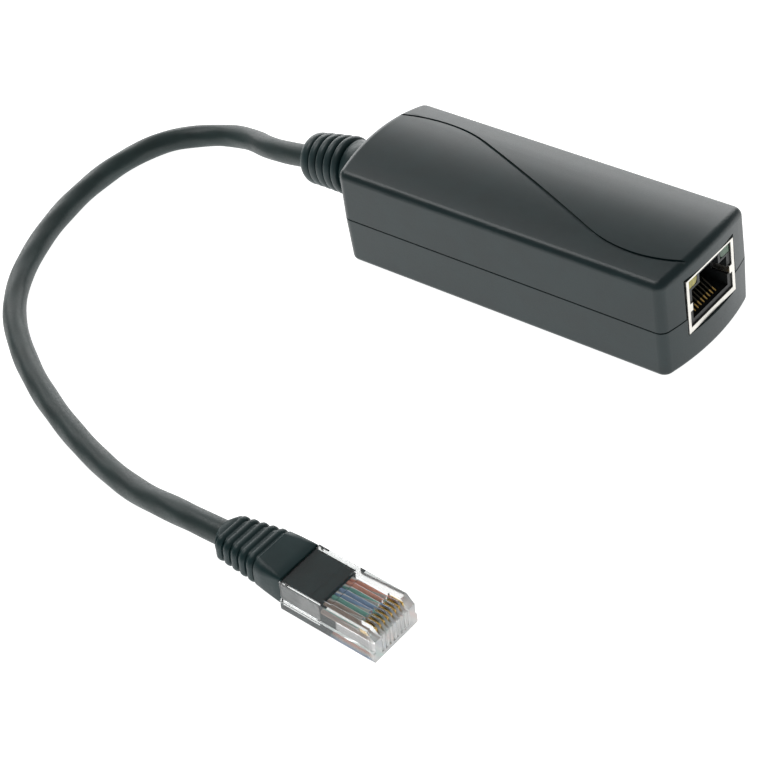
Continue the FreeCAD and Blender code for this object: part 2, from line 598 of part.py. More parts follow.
def jacket_inner_end():
    """How deep the cable's jacket reaches into the case, from the outside of the wall."""
    bow = ((size("case_width") / 2) ** 2 + size("cable_end_bow") ** 2) / (2 * size("cable_end_bow"))
    flange = size("case_wall") + size("flange_gap") + size("flange_radius") ** 2 / (2 * bow)
    return (flange + size("flange_thickness") + size("flange_gap") + size("keeper_thickness")
            + size("jacket_end_reach"))


def relief_bar(name, start, end, radius):
    """A round bar along the bent axis; it begins straight where the start lies inside the case."""
    wall = max(start, 0)
    edges = []
    if start < 0:
        inside = relief_place(0)[0] - FreeCAD.Vector(start, 0, 0)
        edges.append(Part.LineSegment(inside, relief_place(0)[0]).toShape())
    places = [relief_place(reach)[0] for reach in (wall, (wall + end) / 2, end)]
    edges.append(Part.Arc(*places).toShape())
    first = inside if start < 0 else places[0]
    ring = Part.Wire(Part.Circle(first, relief_place(wall)[1], radius).toShape())
    bar = doc.addObject("Part::Feature", name)
    bar.Shape = Part.Wire(edges).makePipeShell([ring], True, True)
    return bar


def on_relief(thing, reach):
    """Set a round piece across the bent axis, its own axis along it."""
    place, heading = relief_place(reach)
    thing.Placement = FreeCAD.Placement(place, FreeCAD.Rotation(Z_AXIS, heading))
    return thing


def strain_relief():
    """The ribbed sleeve round the cable, held by a flange inside the case."""
    dome_start = size("relief_length") - size("relief_dome_length")
    last = int(size("relief_ribs")) - 1
    neck = rod("relief_neck", "-case_length/2 - 2*relief_collar_gap", "0", "cable_height",
               "relief_neck_radius",
               FLANGE_X + " + flange_thickness/2 + case_length/2 + 2*relief_collar_gap", "x")
    flange = rod("relief_flange", FLANGE_X, "0", "cable_height", "flange_radius", "flange_thickness", "x")
    collar = relief_bar("relief_collar", size("relief_collar_gap"), size("relief_collar_end"),
                        size("relief_collar_radius"))
    core = relief_bar("relief_core", size("relief_collar_end") / 2, dome_start + size("relief_collar_gap"),
                      size("relief_core_radius"))
    dome = doc.addObject("Part::Cone", "relief_dome")
    bind(dome, Radius1="relief_rib_radius - relief_rib_taper*(relief_ribs + 1)",
         Radius2="relief_tip_radius", Height="relief_dome_length")
    pieces = [neck, flange, collar, core, on_relief(dome, dome_start)]
    for rib in range(last + 1):
        ring = doc.addObject("Part::Torus", "relief_rib")
        bind(ring, Radius1="relief_rib_radius - relief_rib_taper*%d - relief_rib_rounding" % rib,
             Radius2="relief_rib_rounding")
        pieces.append(on_relief(ring, size("relief_first_rib") + size("relief_rib_pitch") * rib))
    bore = relief_bar("relief_bore", -jacket_inner_end(), size("relief_length") + size("cut_margin"),
                      size("cable_diameter") / 2 + size("sleeve_clearance"))
    keep(cut("strain_relief", fuse("relief_body", pieces), [bore]), "strain_relief")
    end = relief_bar("jacket_case_end", -jacket_inner_end(), size("relief_length"), size("cable_diameter") / 2)
    keep(end, "jacket_case_end")


def board_leads():
    """Eight insulated leads that fan out from the cable's end to a row of holes in the board."""
    start = jacket_inner_end() - size("case_length") / 2
    hole = size("board_rear_gap") - size("case_length") / 2 + size("lead_inset")
    reach = (size("case_width") / 2 - size("board_side_gap") - size("post_edge") - size("post_radius")
             - size("lead_hole_radius") - size("lead_post_gap"))
    pitch = reach * 2 / (CONTACTS - 1)
    foot = size("jack_bottom") - size("board_thickness") - size("lead_tail")
    step = 2 * math.pi / CONTACTS
    for index, colour in enumerate(WIRE_COLOURS):
        turn = (math.pi - step * (index // 2 + 0.5)) * (1 if index % 2 else -1)
        y = -size("lead_ring") * math.cos(turn)
        z = size("cable_height") + size("lead_ring") * math.sin(turn)
        over = lead_places()[CONTACTS - 1 - index] * pitch
        top = size("jack_bottom") + size("lead_lift") + (size("lead_diameter") if index % 2 else 0)
        route = [(start, y, z), (start + size("lead_run"), y, z), (hole, over, top), (hole, over, foot)]
        lead = doc.addObject("Part::Feature", "board_lead_" + colour)
        lead.Shape = wire_through([FreeCAD.Vector(*point) for point in route], size("lead_diameter") / 2)
        keep(lead, "board_lead_" + colour)


# Free cable

def cable_jacket():
    """The free stretch of the cable: straight runs joined by tangent arcs."""
    tip, heading = relief_place(size("relief_length"))
    pose = FreeCAD.Placement(FreeCAD.Vector(size("plug_x"), size("plug_y"), size("plug_z")), plug_rotation())
    tail, before_tail = [pose.multVec(boot_tail_place(size("boot_tail_length") + reach))
                         for reach in (0, size("cable_end_run"))]
    points = [tip, tip + heading * size("cable_start_run")]
    points += [FreeCAD.Vector(*point) for point in CABLE_BENDS]
    points += [before_tail, tail]
    print("cable route", [tuple(round(x, 2) for x in point) for point in points])
    runs = [points[i + 1] - points[i] for i in range(len(points) - 1)]
    edges = []
    last = points[0]
    for i in range(1, len(points) - 1):
        before, after = runs[i - 1], runs[i]
        half_turn = before.getAngle(after) / 2
        reach = ARC_SHARE * min(before.Length, after.Length)
        radius = reach / math.tan(half_turn)
        print("cable arc", i, "radius", round(radius, 1), "turn", round(math.degrees(2 * half_turn), 1))
        enter = points[i] - FreeCAD.Vector(before).normalize() * reach
        leave = points[i] + FreeCAD.Vector(after).normalize() * reach
        inward = (FreeCAD.Vector(after).normalize() - FreeCAD.Vector(before).normalize()).normalize()
        centre = points[i] + inward * (radius / math.cos(half_turn))
        middle = centre - inward * radius
        edges.append(Part.LineSegment(last, enter).toShape())
        edges.append(Part.Arc(enter, middle, leave).toShape())
        last = leave
    edges.append(Part.LineSegment(last, points[-1]).toShape())
    path = Part.Wire(edges)
    ring = Part.Wire(Part.Circle(points[0], runs[0], size("cable_diameter") / 2).toShape())
    tube = doc.addObject("Part::Feature", "cable_jacket")
    tube.Shape = path.makePipeShell([ring], True, True)
    expected = path.Length * math.pi * size("cable_diameter") ** 2 / 4
    print("cable length", round(path.Length, 1), "volume share", round(tube.Shape.Volume / expected, 4))
    keep(tube, "cable_jacket")


# Plug, in its own frame: nose at x = 0, bottom at z = 0, the contacts on top

def plug_rotation():
    return FreeCAD.Rotation(size("plug_turn"), size("plug_dip"), 0)


def on_plug(thing, label):
    """Lay a piece of the plug where the photograph has it."""
    thing.Placement.Rotation = plug_rotation()
    keep(put(thing, "plug_x", "plug_y", "plug_z"), label)


def blades(name, grow, height_to):
    """Eight upright blades in a row, or the slots for them when grown by a clearance."""
    row = []
    for place in lead_places():
        row.append(block(name, "-blade_front - blade_length - (%s)" % grow, "contact_pitch*%s" % place,
                         "wire_height + wire_diameter/2 + blade_clearance - (%s)" % grow,
                         "blade_length + 2*(%s)" % grow, "blade_thickness + 2*(%s)" % grow,
                         height_to + " - wire_height - wire_diameter/2 - blade_clearance + (%s)" % grow))
    return row


def plug_body():
    """The clear moulding with its latch, contact slots, wire channel and hollow rear."""
    shell = block("plug_block", "-plug_length", "0", "0", "plug_length", "plug_width", "plug_height")
    channel = block("wire_channel", WIRE_BACK + " - cut_margin", "0",
                    "wire_height - wire_diameter/2 - plug_clearance",
                    "plug_length - insert_length + cut_margin - wire_front + plug_clearance",
                    "contact_pitch*%d + wire_diameter + 2*plug_clearance" % (CONTACTS - 1),
                    "wire_diameter + 2*plug_clearance")
    hollow = block("plug_hollow", INSERT_X + " - cut_margin", "0", "insert_height_start - plug_clearance",
                   "insert_length + cut_margin", "insert_width + 2*plug_clearance",
                   "insert_height + 2*plug_clearance")
    slots = blades("blade_slot", "blade_clearance", "plug_height + cut_margin")
    hollowed = cut("plug_hollowed", shell, [nose_cut(), channel, hollow] + slots)
    on_plug(fuse("plug_body", [hollowed, plug_latch()]), "plug_body")


def nose_cut():
    """The sloping top front edge of the plug, as a wedge to take away."""
    wedge = doc.addObject("Part::Feature", "nose_wedge")
    across = size("plug_width")
    past = size("cut_margin")
    corners = [(-size("nose_length"), size("plug_height")), (past, size("plug_height")),
               (past, size("nose_height")), (0.0, size("nose_height"))]
    points = [FreeCAD.Vector(x, -across, z) for x, z in corners]
    wedge.Shape = Part.Face(Part.makePolygon(points + points[:1])).extrude(FreeCAD.Vector(0, 2 * across, 0))
    return wedge


def plug_latch():
    """The springy tongue under the plug, hinged at the nose, its free end towards the cable."""
    latch = doc.addObject("Part::Feature", "latch_tongue")
    wide = size("latch_width")
    thick = size("latch_thickness")
    root = -size("latch_root")
    end = root - size("latch_length")
    drop = -size("latch_drop")
    front = -size("latch_setback")
    sink = size("latch_sink")
    corners = [(front, sink), (front, 0.0), (root, -thick), (end, drop - thick / 2), (end, drop + thick / 2),
               (root - thick, 0.0), (root - thick, sink)]
    points = [FreeCAD.Vector(x, -wide / 2, z) for x, z in corners]
    latch.Shape = Part.Face(Part.makePolygon(points + points[:1])).extrude(FreeCAD.Vector(0, wide, 0))
    return latch


def plug_contacts():
    on_plug(group("plug_contacts", blades("blade", "0", "plug_height - blade_recess")), "plug_contacts")


def plug_wires():
    """The eight insulated wires side by side in the plug, the first on the far side."""
    for colour, place in zip(WIRE_COLOURS, reversed(lead_places())):
        wire = rod("plug_wire_" + colour, WIRE_BACK, "contact_pitch*%s" % place, "wire_height",
                   "wire_diameter/2", "plug_length - insert_length - wire_front", "x")
        holder = group("plug_wire_%s_lay" % colour, [wire])
        on_plug(holder, "plug_wire_" + colour)


def boot_tail_place(reach):
    """A point on the axis of the boot's drooping tail, this far behind its block."""
    bend = math.radians(size("boot_tail_bend"))
    return FreeCAD.Vector(-size("plug_length") - size("boot_block_length") - reach * math.cos(bend), 0,
                          size("boot_back_axis") - reach * math.sin(bend))


def tail_ring(reach, wide, tall, corner):
    """A rounded rectangle across the tail, leaning forward as its ribs do."""
    ring = rounded_ring(0, wide, tall, 0, corner)
    ring.Placement = FreeCAD.Placement(boot_tail_place(reach), FreeCAD.Rotation(Y_AXIS, size("boot_rib_lean")))
    return ring


def boot_rib_size(rib):
    """Width and height of one rib, counted from the block."""
    return (size("boot_back_width") - size("boot_rib_shrink") * (rib + 1),
            size("boot_back_height") - size("boot_rib_drop") * (rib + 1))


def plug_boot():
    """The boot: an insert that fills the plug's rear, a tapered block and a drooping row of ribs."""
    insert = block("boot_insert", INSERT_X + " - boot_rib_thickness", "0", "insert_height_start",
                   "insert_length + boot_rib_thickness",
                   "insert_width", "insert_height")
    front = -size("plug_length")
    back = front - size("boot_block_length")
    thick = size("boot_rib_thickness")
    last = int(size("boot_ribs")) - 1
    last_rib = size("boot_first_rib") + size("boot_rib_pitch") * last
    corner = size("boot_rib_corner")
    taper = doc.addObject("Part::Feature", "boot_block")
    taper.Shape = Part.makeLoft([
        rounded_ring(back, size("boot_back_width"), size("boot_back_height"), size("boot_back_axis"),
                     size("boot_back_corner")),
        rounded_ring(front, size("boot_front_width"), size("boot_front_height"), size("boot_front_axis"),
                     size("boot_front_corner")),
    ], True, True)
    pieces = [insert, taper]
    ahead = FreeCAD.Rotation(Y_AXIS, size("boot_rib_lean")).multVec(FreeCAD.Vector(thick, 0, 0))
    for rib in range(last + 1):
        reach = size("boot_first_rib") + size("boot_rib_pitch") * rib + thick
        ring = tail_ring(reach, *boot_rib_size(rib), corner)
        solid = Part.Face(ring).extrude(ahead)
        rim = [edge for edge in solid.Edges if abs(edge.tangentAt(edge.FirstParameter).dot(ahead)) < TOLERANCE]
        plate = doc.addObject("Part::Feature", "boot_rib")
        plate.Shape = solid.makeFillet(size("boot_rib_rounding"), rim)
        pieces.append(plate)
    side = 2 * size("boot_groove_side")
    top = 2 * size("boot_groove_top")
    first_width, first_height = boot_rib_size(0)
    last_width, last_height = boot_rib_size(last)
    core = doc.addObject("Part::Feature", "boot_core")
    core.Shape = Part.makeLoft([
        tail_ring(-size("boot_first_rib"), first_width - side, first_height - top, corner),
        tail_ring(last_rib + thick / 2, last_width - side, last_height - top, corner),
    ], True, True)
    tip = doc.addObject("Part::Feature", "boot_tip")
    tip.Shape = Part.makeLoft([
        tail_ring(last_rib + thick / 2, last_width - top, last_height - top, corner),
        tail_ring(last_rib + thick, last_width - top, last_height - top, corner),
        tail_ring(size("boot_tail_length"), size("boot_tip_width"), size("boot_tip_height"),
                  size("boot_tip_corner")),
    ], True, True)
    pieces += [core, tip]
    inner = FreeCAD.Vector(front - size("boot_end_wall"), 0, size("boot_back_axis"))
    knee = boot_tail_place(0)
    tail = size("boot_tail_length")
    bore = doc.addObject("Part::Feature", "boot_bore")
    bore.Shape = wire_through([boot_tail_place(tail + size("cut_margin")), knee, inner],
                              size("cable_diameter") / 2 + size("sleeve_clearance"))
    on_plug(cut("plug_boot", fuse("boot_body", pieces), [bore]), "plug_boot")
    end = doc.addObject("Part::Feature", "jacket_plug_bar")
    end.Shape = wire_through([boot_tail_place(tail), knee, inner], size("cable_diameter") / 2)
    on_plug(group("jacket_plug_lay", [end]), "jacket_plug_end")


def rounded_ring(x, wide, tall, middle, corner):
    """A rounded rectangle across the plug's axis."""
    half, rise = wide / 2, tall / 2
    corners = [(half, rise), (-half, rise), (-half, -rise), (half, -rise)]
    edges = []
    for index, (y, z) in enumerate(corners):
        next_y, next_z = corners[(index + 1) % 4]
        along_y = (next_y > y) - (next_y < y)
        along_z = (next_z > z) - (next_z < z)
        start = FreeCAD.Vector(x, y + corner * along_y, middle + z + corner * along_z)
        end = FreeCAD.Vector(x, next_y - corner * along_y, middle + next_z - corner * along_z)
        edges.append(Part.LineSegment(start, end).toShape())
        after_y, after_z = corners[(index + 2) % 4]
        turn_y = (after_y > next_y) - (after_y < next_y)
        turn_z = (after_z > next_z) - (after_z < next_z)
        leave = FreeCAD.Vector(x, next_y + corner * turn_y, middle + next_z + corner * turn_z)
        centre = FreeCAD.Vector(x, leave.y - corner * along_y, end.z + corner * turn_z)
        if along_z:
            centre = FreeCAD.Vector(x, end.y + corner * turn_y, leave.z - corner * along_z)
        outward = (FreeCAD.Vector(x, next_y, middle + next_z) - centre).normalize()
        edges.append(Part.Arc(end, centre + outward * corner, leave).toShape())
    return Part.Wire(edges)


# Parts on the board

def electrolytic_cans():
    """Two sleeved cans with a bead near the foot and two pins each."""
    for label, x, radius, height in CANS:
        y = can_place(radius)
        can = rod(label + "_can", x, y, "jack_bottom", radius, height)
        band = rod(label + "_band", x, y, "jack_bottom + can_bead_height", radius + " + cut_margin",
                   "can_bead*2")
        waist = rod(label + "_waist", x, y, "jack_bottom", radius + " - can_bead", "can_bead_height*2")
        bead = cut(label + "_bead", band, [waist])
        dish = rod(label + "_dish", x, y, "jack_bottom + %s - can_bead" % height, radius + " - 2*can_bead",
                   "cut_margin")
        pins = [
            rod(label + "_pin", x, "%s %s can_pin_spacing/2" % (y, sign), PIN_BOTTOM, "component_pin_radius",
                PIN_RISE + " + can_bead") for sign in "+-"
        ]
        keep(fuse(label, [cut(label + "_sleeve", can, [bead, dish])] + pins), label)


WINDING_Z = "(jack_bottom + core_lift)"
CORE_Z = "(%s + winding_height/2 - core_thickness/2)" % WINDING_Z


def power_transformer():
    """A ferrite frame round a taped winding on a bobbin with six pins."""
    start = CORE_X + " - core_length/2"
    frame = block("core_frame", start, "0", CORE_Z, "core_length", "core_width", "core_thickness")
    windows = [
        block("core_window", "%s + %s" % (CORE_X, side), "0", CORE_Z + " - cut_margin",
              "core_length/2 - core_leg - core_post/2", "core_width - 2*core_yoke",
              "core_thickness + 2*cut_margin")
        for side in ("core_post/2", "(core_leg - core_length/2)")
    ]
    keep(cut("transformer_core", frame, windows), "transformer_core")
    coil = block("winding_block", start + " + core_leg + core_gap", "0", WINDING_Z,
                 "core_length - 2*core_leg - 2*core_gap", "core_width - 2*core_yoke - 2*core_gap",
                 "winding_height")
    middle = size("jack_bottom") + size("core_lift") + size("winding_height") / 2
    coil = rounded("winding_rounded", coil, size("core_leg") / 2,
                   lambda edge: along(Y_AXIS)(edge) and edge.CenterOfMass.z > middle)
    tunnel = block("winding_tunnel", CORE_X + " - core_post/2 - core_gap", "0", CORE_Z + " - core_gap",
                   "core_post + 2*core_gap", "core_width", "core_thickness + 2*core_gap")
    base = block("bobbin_base", start, "0", "jack_bottom", "core_length",
                 "core_width - 2*core_yoke", CORE_Z + " - core_gap - jack_bottom")
    pins = [
        rod("bobbin_pin", x, y, PIN_BOTTOM, "component_pin_radius", PIN_RISE + " + core_lift")
        for x, y in core_pins()
    ]
    keep(cut("transformer_winding", fuse("bobbin", [coil, base] + pins), [tunnel]), "transformer_winding")


def output_inductor():
    body = block("inductor_block", "%s - %s/2" % (OUTPUT_X, INDUCTOR_SIDE),
                 "-(inductor_inner + %s/2)" % INDUCTOR_SIDE, "jack_bottom",
                 INDUCTOR_SIDE, INDUCTOR_SIDE, "inductor_height")
    keep(rounded("output_inductor", body, size("inductor_corner"), along(Z_AXIS)), "output_inductor")


def chip(name, x, y, kind, width, pitch):
    """A moulded package with its strip legs, feet on the board."""
    body = block(name + "_package", "%s - %s_length/2" % (x, kind), y, "jack_bottom + chip_lift",
                 kind + "_length", width, kind + "_height")
    legs = int(size(kind + "_legs"))
    thick = size("chip_leg_thickness")
    half = size(kind + "_span") / 2
    bend = half - size("chip_foot")
    shoulder = size("chip_lift") + size(kind + "_height") / 2
    outside, inside = bend - thick, bend - 2 * thick
    corners = [(-half, 0), (-half, thick), (-outside, thick), (-outside, shoulder),
               (outside, shoulder), (outside, thick), (half, thick), (half, 0), (inside, 0),
               (inside, shoulder - thick), (-inside, shoulder - thick), (-inside, 0)]
    strips = []
    for place in range(legs):
        strip = doc.addObject("Part::Feature", name + "_legs")
        wide = size(kind + "_leg_width")
        points = [FreeCAD.Vector(a, -wide / 2, b) for a, b in corners]
        strip.Shape = Part.Face(Part.makePolygon(points + points[:1])).extrude(FreeCAD.Vector(0, wide, 0))
        put(strip, x, "%s + %s*%s" % (y, pitch, place - (legs - 1) / 2), "jack_bottom")
        strips.append(strip)
    return fuse(name, [body] + strips)


def chips():
    chip_y = "(%s/2 - chip_inset)" % BOARD_WIDTH
    choke_width = "(%s - 2*(post_edge + post_radius + choke_gap))" % BOARD_WIDTH
    choke_pitch = "((%s - 2*choke_end)/(choke_legs - 1))" % choke_width
    bridge_width = "((%s/2 - part_edge - rectifier_inner - rectifier_gap)/2)" % BOARD_WIDTH
    keep(chip("controller_chip", CORE_X, chip_y, "chip", "chip_width", "chip_pitch"), "controller_chip")
    keep(chip("switch_transistor", CORE_X, "-" + chip_y, "chip", "chip_width", "chip_pitch"),
         "switch_transistor")
    keep(chip("data_transformer", CHOKE_X, "0", "choke", choke_width, choke_pitch), "data_transformer")
    keep(chip("output_diode", OUTPUT_X, "0", "diode", "diode_width", "diode_pitch"), "output_diode")
    bridge_y = "-(rectifier_inner + {w}/2 + {n}*({w} + rectifier_gap))"
    pair = [
        chip("bridge", INPUT_X, bridge_y.format(w=bridge_width, n=place), "rectifier", bridge_width,
             "rectifier_pitch")
        for place in (0, 1)
    ]
    keep(group("bridge_rectifiers", pair), "bridge_rectifiers")


def small_parts():
    """Two rows of flat parts soldered under the board."""
    count = int(size("small_part_count"))
    for label, side, thickness in (("chip_resistors", "-", "resistor_thickness"),
                                   ("chip_capacitors", "", "small_capacitor_thickness")):
        row = [
            block(label + "_piece",
                  "%s + small_part_pitch*%s - small_part_length/2" % (CORE_X, place - (count - 1) / 2),
                  side + "small_part_y", "%s - %s" % (BOARD_BOTTOM, thickness),
                  "small_part_length", "small_part_width", thickness)
            for place in range(count)
        ]
        keep(group(label, row), label)


upper_case()
lower_case()
circuit_board()
jack_shield()
jack_housing()
jack_leds()
jack_contacts()
strain_relief()
board_leads()
cable_jacket()
plug_body()
plug_contacts()
plug_wires()
plug_boot()
electrolytic_cans()
power_transformer()
output_inductor()
chips()
small_parts()
doc.recompute()

for thing in doc.Objects:
    if "Invalid" in thing.State or "Error" in thing.State:
        raise RuntimeError("%s could not be built: %s" % (thing.Label, thing.State))
for label, thing in NODES.items():
    if thing.Shape.isNull() or not thing.Shape.isValid():
        raise RuntimeError("%s has no valid shape" % label)

os.makedirs("parts", exist_ok=True)
for label, thing in NODES.items():
    thing.Shape.exportStep("parts/%s.step" % label)
    print(label, len(thing.Shape.Solids), "solids", round(thing.Shape.Volume, 2), "mm3")
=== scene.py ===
import json
import math

import bmesh
import bpy
from bpy.props import FloatProperty, FloatVectorProperty, PointerProperty
from mathutils import Euler, Matrix, Vector


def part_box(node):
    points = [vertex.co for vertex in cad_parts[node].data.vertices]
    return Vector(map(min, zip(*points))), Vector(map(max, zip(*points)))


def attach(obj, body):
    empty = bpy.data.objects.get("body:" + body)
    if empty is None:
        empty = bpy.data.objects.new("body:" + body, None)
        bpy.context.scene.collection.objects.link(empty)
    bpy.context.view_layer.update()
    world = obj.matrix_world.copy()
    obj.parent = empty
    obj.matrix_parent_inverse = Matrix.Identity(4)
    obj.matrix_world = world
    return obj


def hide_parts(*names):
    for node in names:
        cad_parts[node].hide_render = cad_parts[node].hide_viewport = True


bl_info = {
    "name": "Inline network power converter",
    "version": (1, 0, 0),
    "blender": (4, 5, 0),
    "location": "3D View > Sidebar > Converter",
    "description": "Dresses the converter's frame: case, socket, cable and clear plug",
    "category": "Object",
}

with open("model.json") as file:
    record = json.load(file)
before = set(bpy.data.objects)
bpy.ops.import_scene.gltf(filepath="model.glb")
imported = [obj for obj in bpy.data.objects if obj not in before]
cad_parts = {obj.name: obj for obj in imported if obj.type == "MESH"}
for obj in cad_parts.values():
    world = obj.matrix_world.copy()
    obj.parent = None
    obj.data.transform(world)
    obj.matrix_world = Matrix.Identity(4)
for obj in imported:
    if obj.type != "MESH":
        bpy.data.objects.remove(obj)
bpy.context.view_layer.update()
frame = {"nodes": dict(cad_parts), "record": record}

MM = 0.001
BODY = "root"

# The photograph's view

CAMERA_PLACE = (0.25091, -0.29744, 0.29750)
CAMERA_HEADING = (-0.55354, 0.54210, -0.63224)
CAMERA_ROLL = math.radians(-10.30)
LENS = 113.54

# The case's two ends: the jack's face, and the wall that the cable leaves

JACK_FACE = 40.7 * MM
WALL = -41.2 * MM

# The strain relief leaves the middle of the wall and bends down; places along it are reaches from the wall

RELIEF_HEIGHT = 12.0 * MM
RELIEF_LENGTH = 19.3 * MM
RELIEF_BEND = math.radians(10.8)

# The cable, with the same points as in the part's source, in metres

CABLE_ROUTE = [
    (-0.06039, 0.0, 0.01019), (-0.07217, 0.0, 0.00794), (-0.0843, 0.0045, 0.0050), (-0.0961, 0.0037, 0.0026),
    (-0.1052, -0.0042, 0.0026), (-0.1082, -0.0215, 0.0026), (-0.1040, -0.0432, 0.0026),
    (-0.0928, -0.0640, 0.0026), (-0.0737, -0.0776, 0.0026), (-0.0512, -0.0875, 0.0026),
    (-0.0292, -0.0938, 0.0032), (-0.01109, -0.09617, 0.00693), (-0.00059, -0.09626, 0.00703),
]
CABLE_LENGTH = 0.2107

# The plug lies on its latch, a little nose down, and its boot's tail droops

PLUG_PLACE = Vector((38.35, -96.6, 0.7)) * MM
PLUG_TURN = math.radians(-0.5)
PLUG_DIP = math.radians(5.0)
PLUG_POSE = Matrix.Translation(PLUG_PLACE) @ Euler((0.0, PLUG_DIP, PLUG_TURN), "XYZ").to_matrix().to_4x4()
PLUG_LENGTH = 21.5 * MM
PLUG_TOP = 6.6 * MM
INSERT_LENGTH = 8.8 * MM
BLOCK_LENGTH = 6.5 * MM
TAIL_HEIGHT = 4.0 * MM
TAIL_DROOP = math.radians(5.5)
RIB_LEAN = math.radians(2.0)
TAIL_POSE = (Matrix.Translation((-PLUG_LENGTH - BLOCK_LENGTH, 0, TAIL_HEIGHT))
             @ Matrix.Rotation(-TAIL_DROOP, 4, "Y"))
WIRE_COLOURS = [
    "white_orange", "orange", "white_green", "blue", "white_blue", "green", "white_brown", "brown",
]
WIRE_PITCH = 1.02 * MM
WIRE_EDGE = (len(WIRE_COLOURS) - 1) / 2 * WIRE_PITCH
WIRE_HEIGHT = 3.9 * MM
WIRE_FRONT = 1.1 * MM
WIRE_RADIUS = 0.46 * MM

# A skin's map counts millimetres along it, and this many units once round it

MAP_ROUND = 8.0


class CaseSettings(bpy.types.PropertyGroup):
    colour: FloatVectorProperty(
        name="Case colour", description="Moulded plastic of both shells", subtype="COLOR",
        default=(0.004, 0.019, 0.021), min=0.0, max=1.0)
    grain: FloatProperty(
        name="Grain", description="Width of one grain of the moulded texture", unit="LENGTH",
        default=0.00022, min=0.00005, max=0.002)
    edge: FloatProperty(
        name="Edge", description="Rounding of the shells' thin edges", unit="LENGTH",
        default=0.00010, min=0.0, max=0.0005)


class CableSettings(bpy.types.PropertyGroup):
    colour: FloatVectorProperty(
        name="Jacket colour", description="Soft jacket of the cable", subtype="COLOR",
        default=(0.020, 0.038, 0.037), min=0.0, max=1.0)
    diameter: FloatProperty(
        name="Diameter", description="Outer diameter of the cable", unit="LENGTH",
        default=0.005, min=0.003, max=0.008)
    lump: FloatProperty(
        name="Lump height", description="How far the twisted pairs show through the jacket", unit="LENGTH",
        default=0.00006, min=0.0, max=0.0005)
    lay: FloatProperty(
        name="Lay length", description="Length in which the pairs go once round", unit="LENGTH",
        default=0.048, min=0.01, max=0.2)


class PlugSettings(bpy.types.PropertyGroup):
    clear: FloatVectorProperty(
        name="Clear plastic", description="Tint of the clear plug", subtype="COLOR",
        default=(0.90, 0.915, 0.91), min=0.0, max=1.0)
    boot: FloatVectorProperty(
        name="Boot colour", description="Soft boot and the insert in the plug", subtype="COLOR",
        default=(0.008, 0.030, 0.032), min=0.0, max=1.0)
    gold: FloatVectorProperty(
        name="Contact colour", description="Plating of the contacts", subtype="COLOR",
        default=(0.83, 0.56, 0.19), min=0.0, max=1.0)


class StageSettings(bpy.types.PropertyGroup):
    floor: FloatVectorProperty(
        name="Floor colour", description="Plain pale floor", subtype="COLOR",
        default=(0.62, 0.62, 0.62), min=0.0, max=1.0)
    glow: FloatProperty(
        name="Floor glow", description="Light that the floor gives by itself, as a light table does",
        default=1.0, min=0.0, max=2.0)
    back_light: FloatProperty(
        name="Back light", description="Power of the low soft light behind the object", unit="POWER",
        default=13.5, min=0.0, max=200.0)
    high_light: FloatProperty(
        name="High light", description="Power of the dim soft light above the back light", unit="POWER",
        default=0.8, min=0.0, max=200.0)
    top_light: FloatProperty(
        name="Top light", description="Power of the soft light above the cable's side", unit="POWER",
        default=4.5, min=0.0, max=200.0)
    sky: FloatProperty(
        name="Sky", description="Strength of the even light from all round",
        default=0.25, min=0.0, max=5.0)


# Materials

def new_material(name):
    """A node material, with what its other parts are linked to."""
    material = bpy.data.materials.new(name)
    material.use_nodes = True
    tree = material.node_tree
    return material, tree.nodes, tree.links, tree.nodes["Principled BSDF"]


def object_noise(nodes, links, feature, detail=3.0, stretch=(1.0, 1.0, 1.0)):
    """A noise whose blobs are about one feature wide, in the piece's own place."""
    place = nodes.new("ShaderNodeTexCoord")
    mapping = nodes.new("ShaderNodeMapping")
    mapping.inputs["Scale"].default_value = stretch
    noise = nodes.new("ShaderNodeTexNoise")
    noise.inputs["Scale"].default_value = 1.0 / feature
    noise.inputs["Detail"].default_value = detail
    links.new(place.outputs["Object"], mapping.inputs["Vector"])
    links.new(mapping.outputs["Vector"], noise.inputs["Vector"])
    return noise.outputs["Fac"]


def spread(nodes, links, value, low, high, start=0.3, stop=0.7):
    """Map a value between start and stop to a range, by default the middle of a noise."""
    ranged = nodes.new("ShaderNodeMapRange")
    ranged.inputs["From Min"].default_value = start
    ranged.inputs["From Max"].default_value = stop
    ranged.inputs["To Min"].default_value = low
    ranged.inputs["To Max"].default_value = high
    links.new(value, ranged.inputs["Value"])
    return ranged.outputs["Result"]


def two_tones(nodes, links, value, first, second, places=(0.35, 0.65)):
    """Blend from one colour to another between two places of a value."""
    ramp = nodes.new("ShaderNodeValToRGB")
    for element, place, colour in zip(ramp.color_ramp.elements, places, (first, second)):
        element.position = place
        element.color = (*colour, 1.0)
    links.new(value, ramp.inputs["Fac"])
    return ramp.outputs["Color"]


def length_share(nodes, links, low, high, start, stop):
    """Map the places from start to stop along the converter to a range."""
    place = nodes.new("ShaderNodeTexCoord")
    split = nodes.new("ShaderNodeSeparateXYZ")
    links.new(place.outputs["Object"], split.inputs["Vector"])
    return spread(nodes, links, split.outputs["X"], low, high, start, stop)


def relief_of(nodes, links, value, depth, strength=1.0):
    """The normal of a surface that a value raises by up to a depth."""
    bump = nodes.new("ShaderNodeBump")
    bump.inputs["Distance"].default_value = depth
    bump.inputs["Strength"].default_value = strength
    links.new(value, bump.inputs["Height"])
    return bump.outputs["Normal"]


def shade(colour, factor):
    """A colour made lighter or darker."""
    return tuple(min(1.0, channel * factor) for channel in colour)


